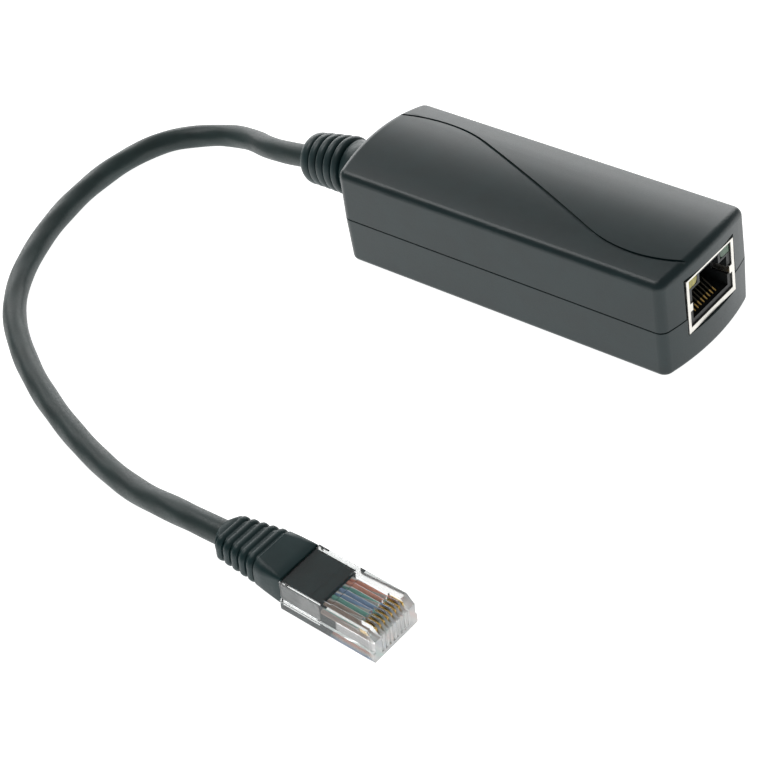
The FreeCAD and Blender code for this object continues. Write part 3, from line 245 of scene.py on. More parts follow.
def moulded(name, colour, roughness=(0.36, 0.5), grain=0.00025, depth=0.00001, vary=0.12, cloud=0.006,
            gloss=0.5):
    """Moulded plastic or rubber: fine grain, cloudy colour and gloss."""
    material, nodes, links, surface = new_material(name)
    surface.inputs["Specular IOR Level"].default_value = gloss
    slow = object_noise(nodes, links, cloud)
    fine = object_noise(nodes, links, grain, detail=2.0)
    links.new(two_tones(nodes, links, slow, shade(colour, 1 - vary), shade(colour, 1 + vary)),
              surface.inputs["Base Color"])
    links.new(spread(nodes, links, fine, *roughness), surface.inputs["Roughness"])
    links.new(relief_of(nodes, links, fine, depth), surface.inputs["Normal"])
    return material


def plated(name, colour, roughness=(0.16, 0.34), stretch=(1.0, 6.0, 1.0), feature=0.0012, depth=0.000004):
    """Plated sheet or wire, with faint drawn lines and clouded gloss."""
    material, nodes, links, surface = new_material(name)
    surface.inputs["Metallic"].default_value = 1.0
    lines = object_noise(nodes, links, feature, detail=4.0, stretch=stretch)
    slow = object_noise(nodes, links, feature * 3)
    tones = two_tones(nodes, links, slow, shade(colour, 0.9), shade(colour, 1.05))
    links.new(tones, surface.inputs["Base Color"])
    links.new(spread(nodes, links, lines, *roughness), surface.inputs["Roughness"])
    links.new(relief_of(nodes, links, lines, depth), surface.inputs["Normal"])
    return material


def gold_tipped_painted_shade(name, colour):
    """Spring wire, gold on its front end as selective plating, and painted dark further into the socket as
    painted shade.
    """
    material, nodes, links, surface = new_material(name)
    surface.inputs["Metallic"].default_value = 1.0
    # Painted shade: a dark colour on the wire from about 2.4 mm behind the jack's face inwards, standing in
    # for the shadow inside the socket
    painted_shade_colour = (0.10, 0.09, 0.07)
    fine = object_noise(nodes, links, 0.0006, detail=4.0)
    share = length_share(nodes, links, 0.0, 1.0, JACK_FACE - 2.5 * MM, JACK_FACE - 2.2 * MM)
    links.new(two_tones(nodes, links, share, painted_shade_colour, colour), surface.inputs["Base Color"])
    links.new(spread(nodes, links, fine, 0.2, 0.4), surface.inputs["Roughness"])
    links.new(relief_of(nodes, links, fine, 0.000004), surface.inputs["Normal"])
    return material


def clear_plastic(name, tint):
    """Clear plastic that turns hazy at the nose."""
    material, nodes, links, surface = new_material(name)
    nose = PLUG_PLACE.x
    haze = length_share(nodes, links, 0.97, 0.45, nose - 1.6 * MM, nose - 0.3 * MM)
    links.new(haze, surface.inputs["Transmission Weight"])
    surface.inputs["IOR"].default_value = 1.49
    slow = object_noise(nodes, links, 0.004)
    fine = object_noise(nodes, links, 0.0006, detail=2.0)
    links.new(two_tones(nodes, links, slow, shade(tint, 0.97), tint), surface.inputs["Base Color"])
    links.new(spread(nodes, links, fine, 0.05, 0.08), surface.inputs["Roughness"])
    links.new(relief_of(nodes, links, slow, 0.00003, 0.35), surface.inputs["Normal"])
    return material


def wetted(name, colour):
    """Soft plastic that the clear moulding touches all over, so that it has hardly any gloss of its own."""
    return moulded(name, colour, roughness=(0.5, 0.7), grain=0.0006, depth=0.000001, gloss=0.1)


def lens(name, colour):
    """The tinted window of an unlit lamp."""
    material, nodes, links, surface = new_material(name)
    surface.inputs["Transmission Weight"].default_value = 0.1
    surface.inputs["IOR"].default_value = 1.5
    slow = object_noise(nodes, links, 0.0012)
    tones = two_tones(nodes, links, slow, shade(colour, 0.75), shade(colour, 1.15))
    links.new(tones, surface.inputs["Base Color"])
    links.new(spread(nodes, links, slow, 0.18, 0.32), surface.inputs["Roughness"])
    links.new(relief_of(nodes, links, slow, 0.00002), surface.inputs["Normal"])
    return material


def insulated(name, base, stripe=None):
    """A wire's insulation, with a coloured stripe winding slowly round it where it has one."""
    material, nodes, links, surface = new_material(name)
    fine = object_noise(nodes, links, 0.0004)
    if stripe is None:
        slow = object_noise(nodes, links, 0.003)
        tones = two_tones(nodes, links, slow, shade(base, 0.88), base)
    else:
        place = nodes.new("ShaderNodeUVMap")
        place.uv_map = "along"
        twist = nodes.new("ShaderNodeMapping")
        twist.inputs["Scale"].default_value = (0.5, 1.0, 1.0)
        winding = nodes.new("ShaderNodeTexWave")
        winding.bands_direction = "DIAGONAL"
        winding.inputs["Scale"].default_value = 2 * math.pi / (10 * MAP_ROUND)
        links.new(place.outputs["UV"], twist.inputs["Vector"])
        links.new(twist.outputs["Vector"], winding.inputs["Vector"])
        tones = two_tones(nodes, links, winding.outputs["Fac"], base, stripe, (0.66, 0.72))
    links.new(tones, surface.inputs["Base Color"])
    links.new(spread(nodes, links, fine, 0.3, 0.45), surface.inputs["Roughness"])
    links.new(relief_of(nodes, links, fine, 0.000008), surface.inputs["Normal"])
    return material


def laminate(name, colour):
    """Circuit board with solder mask over fine tracks."""
    material, nodes, links, surface = new_material(name)
    place = nodes.new("ShaderNodeTexCoord")
    tracks = nodes.new("ShaderNodeTexBrick")
    tracks.inputs["Scale"].default_value = 260.0
    tracks.inputs["Mortar Size"].default_value = 0.035
    tracks.inputs["Color1"].default_value = (*shade(colour, 0.9), 1.0)
    tracks.inputs["Color2"].default_value = (*colour, 1.0)
    tracks.inputs["Mortar"].default_value = (*shade(colour, 1.8), 1.0)
    links.new(place.outputs["Object"], tracks.inputs["Vector"])
    links.new(tracks.outputs["Color"], surface.inputs["Base Color"])
    fine = object_noise(nodes, links, 0.0008)
    links.new(spread(nodes, links, fine, 0.2, 0.35), surface.inputs["Roughness"])
    links.new(relief_of(nodes, links, tracks.outputs["Fac"], 0.00003), surface.inputs["Normal"])
    return material


WIRE_TINTS = {
    "orange": (0.95, 0.38, 0.25), "blue": (0.24, 0.42, 0.70),
    "green": (0.17, 0.56, 0.46), "brown": (0.48, 0.36, 0.29),
}
WIRE_WHITE = (0.80, 0.78, 0.74)


def material_for(slot_name):
    """The finish of one of the record's slots, made once."""
    finish = slot_name + "_finish"
    if finish in bpy.data.materials:
        return bpy.data.materials[finish]
    scene = bpy.context.scene
    case, cable, plug = scene.converter_case, scene.converter_cable, scene.converter_plug
    if slot_name.startswith("wire_"):
        colour = slot_name[len("wire_"):]
        tint = WIRE_TINTS[colour.replace("white_", "")]
        if colour.startswith("white_"):
            return insulated(finish, WIRE_WHITE, tint)
        return insulated(finish, tint)
    made = {
        "case_plastic": lambda n: moulded(n, tuple(case.colour), (0.30, 0.40), case.grain, 0.000008),
        "board_laminate": lambda n: laminate(n, (0.015, 0.12, 0.05)),
        "tinned_steel": lambda n: plated(n, (0.80, 0.78, 0.73), (0.24, 0.42)),
        "jack_plastic": lambda n: moulded(n, (0.012, 0.014, 0.015), (0.38, 0.5), 0.0003),
        "yellow_lens": lambda n: lens(n, (0.46, 0.40, 0.06)),
        "green_lens": lambda n: lens(n, (0.055, 0.13, 0.07)),
        "gold_plate": lambda n: plated(n, tuple(plug.gold), (0.14, 0.3), feature=0.0006),
        "relief_rubber": lambda n: moulded(n, tuple(plug.boot), (0.34, 0.46), 0.0003),
        "boot_rubber": lambda n: moulded(n, tuple(plug.boot), (0.36, 0.48), 0.0003, gloss=0.33),
        "cable_jacket": lambda n: moulded(n, tuple(cable.colour), (0.38, 0.5), 0.0005, vary=0.15, gloss=0.45),
        "clear_plastic": lambda n: clear_plastic(n, tuple(plug.clear)),
        "can_sleeve": lambda n: moulded(n, (0.01, 0.01, 0.03), (0.2, 0.3)),
        "ferrite": lambda n: moulded(n, (0.04, 0.04, 0.045), (0.5, 0.7), 0.0004, 0.00003),
        "winding_tape": lambda n: moulded(n, (0.65, 0.42, 0.05), (0.25, 0.4), 0.0008),
        "chip_epoxy": lambda n: moulded(n, (0.015, 0.015, 0.017), (0.45, 0.6), 0.00015),
        "resistor_ceramic": lambda n: moulded(n, (0.02, 0.02, 0.024), (0.3, 0.5), 0.0002),
        "capacitor_ceramic": lambda n: moulded(n, (0.34, 0.23, 0.13), (0.35, 0.5), 0.0002),
    }
    return made[slot_name](finish)


NODE_SLOTS = {row["node"]: row["material_slot"] for row in frame["record"]["subparts"]}


# Building and finishing of pieces

def new_piece(name, mesh, slot_name, node, finish=None):
    """Link a mesh as a finished piece, on the body, in its slot and for its node."""
    piece = bpy.data.objects.new(name, mesh)
    bpy.context.scene.collection.objects.link(piece)
    mesh.materials.clear()
    mesh.materials.append(finish or material_for(slot_name))
    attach(piece, BODY)
    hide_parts(node)


def mesh_of(bm, name, smooth_angle=35.0):
    """Close a bmesh into a mesh with soft shading up to an angle."""
    mesh = bpy.data.meshes.new(name)
    bm.to_mesh(mesh)
    bm.free()
    mesh.shade_smooth()
    mesh.set_sharp_from_angle(angle=math.radians(smooth_angle))
    return mesh


def settled(mesh, *modifiers):
    """Run modifiers over a mesh and return the plain result."""
    holder = bpy.data.objects.new("holder", mesh)
    bpy.context.scene.collection.objects.link(holder)
    for kind, values in modifiers:
        modifier = holder.modifiers.new(kind.lower(), kind)
        for key, value in values.items():
            setattr(modifier, key, value)
    bpy.context.view_layer.update()
    evaluated = holder.evaluated_get(bpy.context.evaluated_depsgraph_get())
    result = bpy.data.meshes.new_from_object(evaluated)
    result.name = mesh.name
    bpy.data.objects.remove(holder)
    return result


def rounded_edges(mesh, width, angle=35.0, segments=2):
    """Round a mesh's sharp edges, with flat faces kept flat in the shading."""
    return settled(
        mesh,
        ("BEVEL", {"width": width, "segments": segments, "limit_method": "ANGLE",
                   "angle_limit": math.radians(angle), "use_clamp_overlap": True}),
        ("WEIGHTED_NORMAL", {"mode": "FACE_AREA", "keep_sharp": True}),
    )


def merged_copy(node, name):
    """A welded copy of a node's mesh, with its flat areas joined."""
    bm = bmesh.new()
    bm.from_mesh(frame["nodes"][node].data)
    bmesh.ops.remove_doubles(bm, verts=bm.verts, dist=2e-6)
    bmesh.ops.dissolve_limit(bm, angle_limit=math.radians(0.3), verts=bm.verts, edges=bm.edges)
    return mesh_of(bm, name)


def skin(name, rings, caps=(True, True), smooth_angle=40.0):
    """Join rings of points, all with as many points, into a skin with a map along and around."""
    bm = bmesh.new()
    around = len(rings[0])
    rows = [[bm.verts.new(point) for point in ring] for ring in rings]
    uv = bm.loops.layers.uv.new("along")
    travelled = [0.0]
    for before, after in zip(rings, rings[1:]):
        travelled.append(travelled[-1] + (Vector(after[0]) - Vector(before[0])).length / MM)
    for i in range(len(rows) - 1):
        for j in range(around):
            k = (j + 1) % around
            face = bm.faces.new((rows[i][j], rows[i][k], rows[i + 1][k], rows[i + 1][j]))
            corners = ((j, i), (j + 1, i), (j + 1, i + 1), (j, i + 1))
            for loop, (turn, row) in zip(face.loops, corners):
                loop[uv].uv = (travelled[row], MAP_ROUND * turn / around)
    if caps[0]:
        bm.faces.new(list(reversed(rows[0])))
    if caps[1]:
        bm.faces.new(rows[-1])
    bmesh.ops.recalc_face_normals(bm, faces=bm.faces)
    return mesh_of(bm, name, smooth_angle)


def smooth_route(points):
    """The points that a route's spline passes through, read from the curve with no thickness."""
    curve = bpy.data.curves.new("route", "CURVE")
    curve.dimensions = "3D"
    curve.resolution_u = 24
    spline = curve.splines.new("NURBS")
    spline.points.add(len(points) - 1)
    for point, place in zip(spline.points, points):
        point.co = (*place, 1.0)
    spline.order_u = 3
    spline.use_endpoint_u = True
    holder = bpy.data.objects.new("route", curve)
    bpy.context.scene.collection.objects.link(holder)
    bpy.context.view_layer.update()
    line = bpy.data.meshes.new_from_object(holder.evaluated_get(bpy.context.evaluated_depsgraph_get()))
    path = [vert.co.copy() for vert in line.vertices]
    bpy.data.objects.remove(holder)
    return path


def heading_at(path, i):
    """Where a path heads at one of its points."""
    return (path[min(i + 1, len(path) - 1)] - path[max(i - 1, 0)]).normalized()


def circle_ring(centre, radius, across, up, steps):
    """Points once round a circle that lies in two directions."""
    return [
        centre + across * (radius * math.cos(2 * math.pi * j / steps))
        + up * (radius * math.sin(2 * math.pi * j / steps))
        for j in range(steps)
    ]


def rounded_rectangle(width, height, corner, steps=6):
    """Points of a rounded rectangle as pairs, once round from the first quadrant."""
    points = []
    for quarter, (sign_y, sign_z) in enumerate(((1, 1), (-1, 1), (-1, -1), (1, -1))):
        for step in range(steps + 1):
            turn = math.pi / 2 * (quarter + step / steps)
            points.append((sign_y * (width / 2 - corner) + corner * math.cos(turn),
                           sign_z * (height / 2 - corner) + corner * math.sin(turn)))
    return points


def box_mesh(name, low, high, edge=0.02, segments=1):
    """A box with rounded edges, in millimetres."""
    bm = bmesh.new()
    bmesh.ops.create_cube(bm, size=1.0)
    low, high = (Vector([place * MM for place in corner]) for corner in (low, high))
    for vert in bm.verts:
        vert.co = Vector(low[i] + (vert.co[i] + 0.5) * (high[i] - low[i]) for i in range(3))
    return rounded_edges(mesh_of(bm, name), edge * MM, segments=segments)


def combined(mesh, others, operation):
    """Add closed pieces to a mesh, or take them away from it."""
    tool = bpy.data.objects.new("tool", others)
    bpy.context.scene.collection.objects.link(tool)
    result = settled(mesh, ("BOOLEAN", {"operation": operation, "solver": "EXACT", "use_self": True,
                                        "object": tool}))
    bpy.data.objects.remove(tool)
    return result


# A row of like pieces

def row_tree():
    """Copies of one piece in an even row, each grown a little more than the one before."""
    tree = bpy.data.node_groups.new("even_row", "GeometryNodeTree")
    face = tree.interface
    face.new_socket("Geometry", in_out="OUTPUT", socket_type="NodeSocketGeometry")
    for label, kind in (("Piece", "NodeSocketObject"), ("Count", "NodeSocketInt"),
                        ("Start", "NodeSocketVector"), ("Step", "NodeSocketVector"),
                        ("Growth", "NodeSocketVector"), ("Material", "NodeSocketMaterial")):
        face.new_socket(label, in_out="INPUT", socket_type=kind)
    nodes, links = tree.nodes, tree.links
    given = nodes.new("NodeGroupInput")
    line = nodes.new("GeometryNodeMeshLine")
    piece = nodes.new("GeometryNodeObjectInfo")
    index = nodes.new("GeometryNodeInputIndex")
    grown = nodes.new("ShaderNodeVectorMath")
    grown.operation = "MULTIPLY_ADD"
    grown.inputs[2].default_value = (1.0, 1.0, 1.0)
    place = nodes.new("GeometryNodeInstanceOnPoints")
    real = nodes.new("GeometryNodeRealizeInstances")
    paint = nodes.new("GeometryNodeSetMaterial")
    out = nodes.new("NodeGroupOutput")
    links.new(given.outputs["Count"], line.inputs["Count"])
    links.new(given.outputs["Start"], line.inputs["Start Location"])
    links.new(given.outputs["Step"], line.inputs["Offset"])
    links.new(given.outputs["Piece"], piece.inputs["Object"])
    links.new(given.outputs["Growth"], grown.inputs[0])
    links.new(index.outputs["Index"], grown.inputs[1])
    links.new(line.outputs["Mesh"], place.inputs["Points"])
    links.new(piece.outputs["Geometry"], place.inputs["Instance"])
    links.new(grown.outputs["Vector"], place.inputs["Scale"])
    links.new(place.outputs["Instances"], real.inputs["Geometry"])
    links.new(real.outputs["Geometry"], paint.inputs["Geometry"])
    links.new(given.outputs["Material"], paint.inputs["Material"])
    links.new(paint.outputs["Geometry"], out.inputs["Geometry"])
    return tree


def row_of(mesh, count, start, step, slot_name, growth=(0.0, 0.0, 0.0)):
    """The plain mesh of a row of copies of a mesh."""
    tree = bpy.data.node_groups.get("even_row") or row_tree()
    pattern = bpy.data.objects.new("pattern", mesh)
    holder = bpy.data.objects.new("row", bpy.data.meshes.new("row"))
    for thing in (pattern, holder):
        bpy.context.scene.collection.objects.link(thing)
    modifier = holder.modifiers.new("row", "NODES")
    modifier.node_group = tree
    sockets = {item.name: item.identifier for item in tree.interface.items_tree if item.in_out == "INPUT"}
    modifier[sockets["Piece"]] = pattern
    modifier[sockets["Count"]] = count
    modifier[sockets["Start"]] = start
    modifier[sockets["Step"]] = step
    modifier[sockets["Growth"]] = growth
    modifier[sockets["Material"]] = material_for(slot_name)
    bpy.context.view_layer.update()
    evaluated = holder.evaluated_get(bpy.context.evaluated_depsgraph_get())
    result = bpy.data.meshes.new_from_object(evaluated)
    result.name = mesh.name + "_row"
    holder.modifiers.clear()
    bpy.data.objects.remove(holder)
    bpy.data.objects.remove(pattern)
    return result


def joined(name, *meshes):
    """Several meshes as one."""
    bm = bmesh.new()
    for mesh in meshes:
        bm.from_mesh(mesh)
    result = bpy.data.meshes.new(name)
    bm.to_mesh(result)
    bm.free()
    return result


# Stage

class ConverterStage(bpy.types.Operator):
    """Set up the floor, the soft lights and the photograph's view"""
    bl_idname = "converter.stage"
    bl_label = "Stage"

    def execute(self, context):
        scene = context.scene
        settings = scene.converter_stage
        camera = bpy.data.objects.new("camera", bpy.data.cameras.new("camera"))
        camera.data.lens = LENS
        camera.data.clip_start = 0.01
        turn = Vector(CAMERA_HEADING).to_track_quat("-Z", "Y").to_matrix().to_4x4()
        camera.matrix_world = Matrix.Translation(CAMERA_PLACE) @ turn @ Matrix.Rotation(CAMERA_ROLL, 4, "Z")
        scene.collection.objects.link(camera)
        scene.camera = camera
        scene.view_settings.view_transform = "Standard"

        floor_mesh = bpy.data.meshes.new("floor")
        half = 4.0
        floor_mesh.from_pydata([(-half, -half, 0), (half, -half, 0), (half, half, 0), (-half, half, 0)],
                               [], [(0, 1, 2, 3)])
        floor = bpy.data.objects.new("floor", floor_mesh)
        scene.collection.objects.link(floor)
        finish = moulded("pale_floor", tuple(settings.floor), (0.28, 0.4), 0.002, 0.000004, 0.01, 0.2)
        floor_mesh.materials.append(finish)
        surface = finish.node_tree.nodes["Principled BSDF"]
        surface.inputs["Emission Color"].default_value = (1.0, 1.0, 1.0, 1.0)
        surface.inputs["Emission Strength"].default_value = settings.glow

        self.soft_light(scene, "back_light", settings.back_light, (2.2, 0.62), (-1.0, 1.05, 0.42))
        self.soft_light(scene, "high_light", settings.high_light, (1.6, 0.8), (-0.75, 0.75, 1.25))
        self.soft_light(scene, "top_light", settings.top_light, (0.6, 0.7), (-0.70, -0.08, 1.05))
        world = bpy.data.worlds.new("studio")
        world.use_nodes = True
        sky = world.node_tree.nodes["Background"]
        sky.inputs["Strength"].default_value = settings.sky
        sky.inputs["Color"].default_value = (1.0, 1.0, 1.0, 1.0)
        scene.world = world
        return {"FINISHED"}

    def soft_light(self, scene, name, power, sides, place):
        """A rectangular light that faces the object's middle."""
        lamp = bpy.data.lights.new(name, "AREA")
        lamp.energy = power
        lamp.shape = "RECTANGLE"
        lamp.size, lamp.size_y = sides
        holder = bpy.data.objects.new(name, lamp)
        holder.location = place
        holder.rotation_euler = (-Vector(place)).to_track_quat("-Z", "Y").to_euler()
        scene.collection.objects.link(holder)


# Cable

class ConverterCable(bpy.types.Operator):
    """Draw the round cable along its route, with its pairs faintly showing"""
    bl_idname = "converter.cable"
    bl_label = "Cable"

    def execute(self, context):
        settings = context.scene.converter_cable
        path = smooth_route(CABLE_ROUTE)
        radius, steps, pairs, fade_length = settings.diameter / 2, 40, 4, 10 * MM
        rings, travelled, up = [], 0.0, Vector((0, 0, 1))
        for i, point in enumerate(path):
            ahead = heading_at(path, i)
            up = (up - ahead * up.dot(ahead)).normalized()
            across = up.cross(ahead)
            if i:
                travelled += (point - path[i - 1]).length
            fade = min(1.0, travelled / fade_length, max(0.0, (CABLE_LENGTH - travelled) / fade_length))
            twist = 2 * math.pi * travelled / settings.lay
            ring = []
            for j in range(steps):
                turn = 2 * math.pi * j / steps
                wave = math.cos(pairs * (turn - twist))
                uneven = 0.5 * math.sin(2 * turn + twist / 0.37)
                reach = radius + fade * settings.lump * (wave + uneven - 0.5) / 1.5
                ring.append(point + across * (reach * math.cos(turn)) + up * (reach * math.sin(turn)))
            rings.append(ring)
        new_piece("cable", skin("cable", rings, smooth_angle=70), "cable_jacket", "cable_jacket")
        return {"FINISHED"}


class ConverterCord(bpy.types.Operator):
    """Work out the points along the cable's smoothed route"""
    bl_idname = "converter.cord"
    bl_label = "Cable facts"

    def execute(self, context):
        path = [tuple(point) for point in smooth_route(CABLE_ROUTE)]
        return {"FINISHED"}


def relief_place(reach):
    """A point on the bent axis, this far out from the wall, and where the axis heads."""
    bend_radius = RELIEF_LENGTH / RELIEF_BEND
    turn = max(reach, 0.0) / bend_radius
    place = Vector((WALL - min(reach, 0.0) - bend_radius * math.sin(turn), 0,
                    RELIEF_HEIGHT - bend_radius * (1 - math.cos(turn))))
    return place, Vector((-math.cos(turn), 0, -math.sin(turn)))


class ConverterRelief(bpy.types.Operator):
    """Turn the ribbed sleeve where the cable leaves the case"""
    bl_idname = "converter.relief"
    bl_label = "Strain relief"

    def execute(self, context):
        neck, core, bore, tip_radius = 4.5 * MM, 4.9 * MM, 2.55 * MM, 3.5 * MM
        collar, collar_start, collar_end, corner = 5.9 * MM, 0.4 * MM, 7.15 * MM, 0.3 * MM
        ribs, pitch, first, half, fullness = 5, 2.2 * MM, 8.4 * MM, 1.02 * MM, 2.6
        peaks = [6.35 * MM - 0.18 * MM * index for index in range(ribs)]
        flange, flange_radius = 1.6 * MM, 6.2 * MM
        tip, steps = RELIEF_LENGTH, 12
        dome = tip - first - pitch * (ribs - 1)
        profile = [(tip - 2 * MM, bore), (tip - 0.2 * MM, bore), (tip, bore + 0.2 * MM)]
        for step in range(steps + 1):
            turn = math.pi / 2 * step / steps
            profile.append((tip - dome * (1 - math.cos(turn)),
                            tip_radius + (peaks[-1] - tip_radius) * math.sin(turn)))
        for index in reversed(range(ribs)):
            for step in range(1 if index == ribs - 1 else -steps, steps + 1):
                share = -step / steps
                height = (1 - abs(share) ** fullness) ** (1 / fullness)
                profile.append((first + index * pitch + share * half, core + (peaks[index] - core) * height))
        profile += [(collar_end + 0.15 * MM, core), (collar_end, collar - corner),
                    (collar_end - corner, collar), (collar_start + corner, collar),
                    (collar_start, collar - corner), (collar_start, neck)]
        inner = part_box("strain_relief")[1].x
        back = WALL - inner + flange
        profile += [(back, neck), (back, flange_radius), (back - flange, flange_radius)]
        profile += [(back - flange, bore), profile[0]]
        rings, across = [], Vector((0, 1, 0))
        for reach, radius in profile:
            place, heading = relief_place(reach)
            rings.append(circle_ring(place, radius, across, across.cross(heading), 96))
        bm = bmesh.new()
        bm.from_mesh(skin("relief", rings, caps=(False, False)))
        bmesh.ops.remove_doubles(bm, verts=bm.verts, dist=1e-7)
        bmesh.ops.recalc_face_normals(bm, faces=bm.faces)
        new_piece("relief", mesh_of(bm, "relief", 50), "relief_rubber", "strain_relief")
        return {"FINISHED"}


# Case

class ConverterCase(bpy.types.Operator):
    """Finish the two moulded shells"""
    bl_idname = "converter.case"
    bl_label = "Case shells"

    def execute(self, context):
        edge = context.scene.converter_case.edge
        for node, name in (("upper_case", "upper_shell"), ("lower_case", "lower_shell")):
            new_piece(name, rounded_edges(merged_copy(node, name), edge, 40), "case_plastic", node)
        return {"FINISHED"}


# Socket

class ConverterSocket(bpy.types.Operator):
    """Finish the socket: shield, insulator, light windows and spring contacts"""
    bl_idname = "converter.socket"
    bl_label = "Socket"

    def execute(self, context):
        for node, name, slot_name in (("jack_shield", "shield", "tinned_steel"),
                                      ("jack_housing", "socket_body", "jack_plastic")):
            new_piece(name, rounded_edges(merged_copy(node, name), 0.06 * MM), slot_name, node)
        for colour in ("yellow", "green"):
            node = "jack_led_" + colour
            mesh = self.window("window_" + colour, *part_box(node))
            new_piece("window_" + colour, mesh, colour + "_lens", node)
        self.springs()
        return {"FINISHED"}

    def window(self, name, low, high):
        """A light window whose lower corner towards the socket's middle is round."""
        inner = 1 if low.y < 0 else -1
        middle, half = (low.y + high.y) / 2, (high.y - low.y) / 2
        corner, steps = 1.1 * MM, 8
        outline = [(-half, high.z), (-half, low.z)]
        for step in range(steps + 1):
            turn = math.pi / 2 * step / steps
            outline.append((half - corner * (1 - math.sin(turn)), low.z + corner * (1 - math.cos(turn))))
        outline.append((half, high.z))
        rings = [[Vector((x, middle + inner * y, z)) for y, z in outline] for x in (low.x, high.x)]
        return rounded_edges(skin(name, rings), 0.12 * MM, 50)

    def springs(self):
        """Two staggered rows of bent wires, which slope down to their front ends behind the jack's face."""
        low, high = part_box("jack_contacts")
        stagger, knee, front, radius = 1.3 * MM, 4.6 * MM, 1.6 * MM, 0.22 * MM
        rise, front_height = high.z - radius, 9.07 * MM
        across = Vector((0, 1, 0))
        rows = []
        for odd in (0, 1):
            tail = low.x + radius + (0 if odd else stagger)
            bends = [(tail, low.z), (tail, rise - 1.0 * MM), (tail + 0.3 * MM, rise - 0.3 * MM),
                     (tail + 1.0 * MM, rise), (JACK_FACE - knee - 0.6 * MM, rise),
                     (JACK_FACE - knee, rise - 0.15 * MM), (JACK_FACE - front, front_height)]
            path = smooth_route([(x, 0.0, z) for x, z in bends])
            rings = []
            for i, point in enumerate(path):
                up = across.cross(heading_at(path, i)).normalized()
                rings.append(circle_ring(point, radius, across, up, 10))
            wire = skin("spring", rings, smooth_angle=60)
            start = (0.0, odd * WIRE_PITCH - WIRE_EDGE, 0.0)
            rows.append(row_of(wire, len(WIRE_COLOURS) // 2, start, (0.0, 2 * WIRE_PITCH, 0.0), "gold_plate"))
        # The springs' finish paints shade on their parts deep in the socket and keeps gold on the front ends
        finish = gold_tipped_painted_shade("spring_metal", tuple(bpy.context.scene.converter_plug.gold))
        new_piece("springs", joined("springs", *rows), "gold_plate", "jack_contacts", finish)


# Plug

def one_per_wire(mesh, slot_name):
    """Copies of a mesh side by side, one at each wire."""
    return row_of(mesh, len(WIRE_COLOURS), (0.0, -WIRE_EDGE, 0.0), (0.0, WIRE_PITCH, 0.0), slot_name)


def in_plug_pose(mesh):
    """Move a mesh from the plug's own place, nose at the origin, to where the plug lies."""
    mesh.transform(PLUG_POSE)
    return mesh


class ConverterPlug(bpy.types.Operator):
    """Finish the clear plug with its blades and coloured wires"""
    bl_idname = "converter.plug"
    bl_label = "Clear plug"

    def execute(self, context):
        new_piece("plug_shell", self.shell(), "clear_plastic", "plug_body")
        blade = box_mesh("blade", (-3.9, -0.18, 4.42), (-1.0, 0.18, 6.25), 0.07, 3)
        blades = one_per_wire(blade, "gold_plate")
        new_piece("blades", in_plug_pose(blades), "gold_plate", "plug_contacts")
        back, across, up, steps = INSERT_LENGTH - PLUG_LENGTH, Vector((0, 1, 0)), Vector((0, 0, 1)), 24
        for index, colour in enumerate(WIRE_COLOURS):
            side = WIRE_EDGE - index * WIRE_PITCH
            middles = [Vector((back + (-WIRE_FRONT - back) * step / steps, side, WIRE_HEIGHT))
                       for step in range(steps + 1)]
            rings = [circle_ring(middle, WIRE_RADIUS, across, up, 20) for middle in middles]
            mesh = in_plug_pose(skin("wire_" + colour, rings, smooth_angle=50))
            new_piece("wire_" + colour, mesh, "wire_" + colour, "plug_wire_" + colour)
        return {"FINISHED"}

    def shell(self):
        """The clear moulding, solid round its wires, with stepped sides and a comb at the nose."""
        mesh = merged_copy("plug_body", "plug_shell")
        mesh.transform(PLUG_POSE.inverted())
        insert_room = box_mesh("insert_room", (-PLUG_LENGTH / MM, -4.75, 0.8), (-12.6, 4.75, 6.05))
        wire_room = box_mesh("wire_room", (-12.7, -4.2, 3.2), (-0.98, 4.2, 4.6))
        mesh = combined(mesh, joined("rooms", insert_room, wire_room), "UNION")
        wide, step_low, step_high, step_in, near = 5.84 * MM, 2.1 * MM, 2.4 * MM, 0.35 * MM, 0.05 * MM
        bm = bmesh.new()
        bm.from_mesh(mesh)
        for height in (step_low, step_high):
            bmesh.ops.bisect_plane(bm, geom=bm.verts[:] + bm.edges[:] + bm.faces[:], plane_co=(0, 0, height),
                                   plane_no=(0, 0, 1))
        for vert in bm.verts:
            if abs(vert.co.y) > wide - near and vert.co.z > step_high - near:
                vert.co.y -= math.copysign(step_in, vert.co.y)
        mesh = mesh_of(bm, "plug_shell")
        blade_slot = box_mesh("blade_slot", (-4.2, -0.25, 4.5), (1.0, 0.25, 8.0))
        nose_slot = box_mesh("nose_slot", (-0.3, -0.25, 0.9), (1.0, 0.25, 5.0))
        combs = [one_per_wire(slot, "clear_plastic") for slot in (blade_slot, nose_slot)]
        dip = box_mesh("dip", (-12.4, -4.2, PLUG_TOP / MM - 0.3), (-10.6, 4.2, 8.0))
        mesh = combined(mesh, joined("cutters", *combs, dip), "DIFFERENCE")
        return in_plug_pose(rounded_edges(mesh, 0.1 * MM, 30))


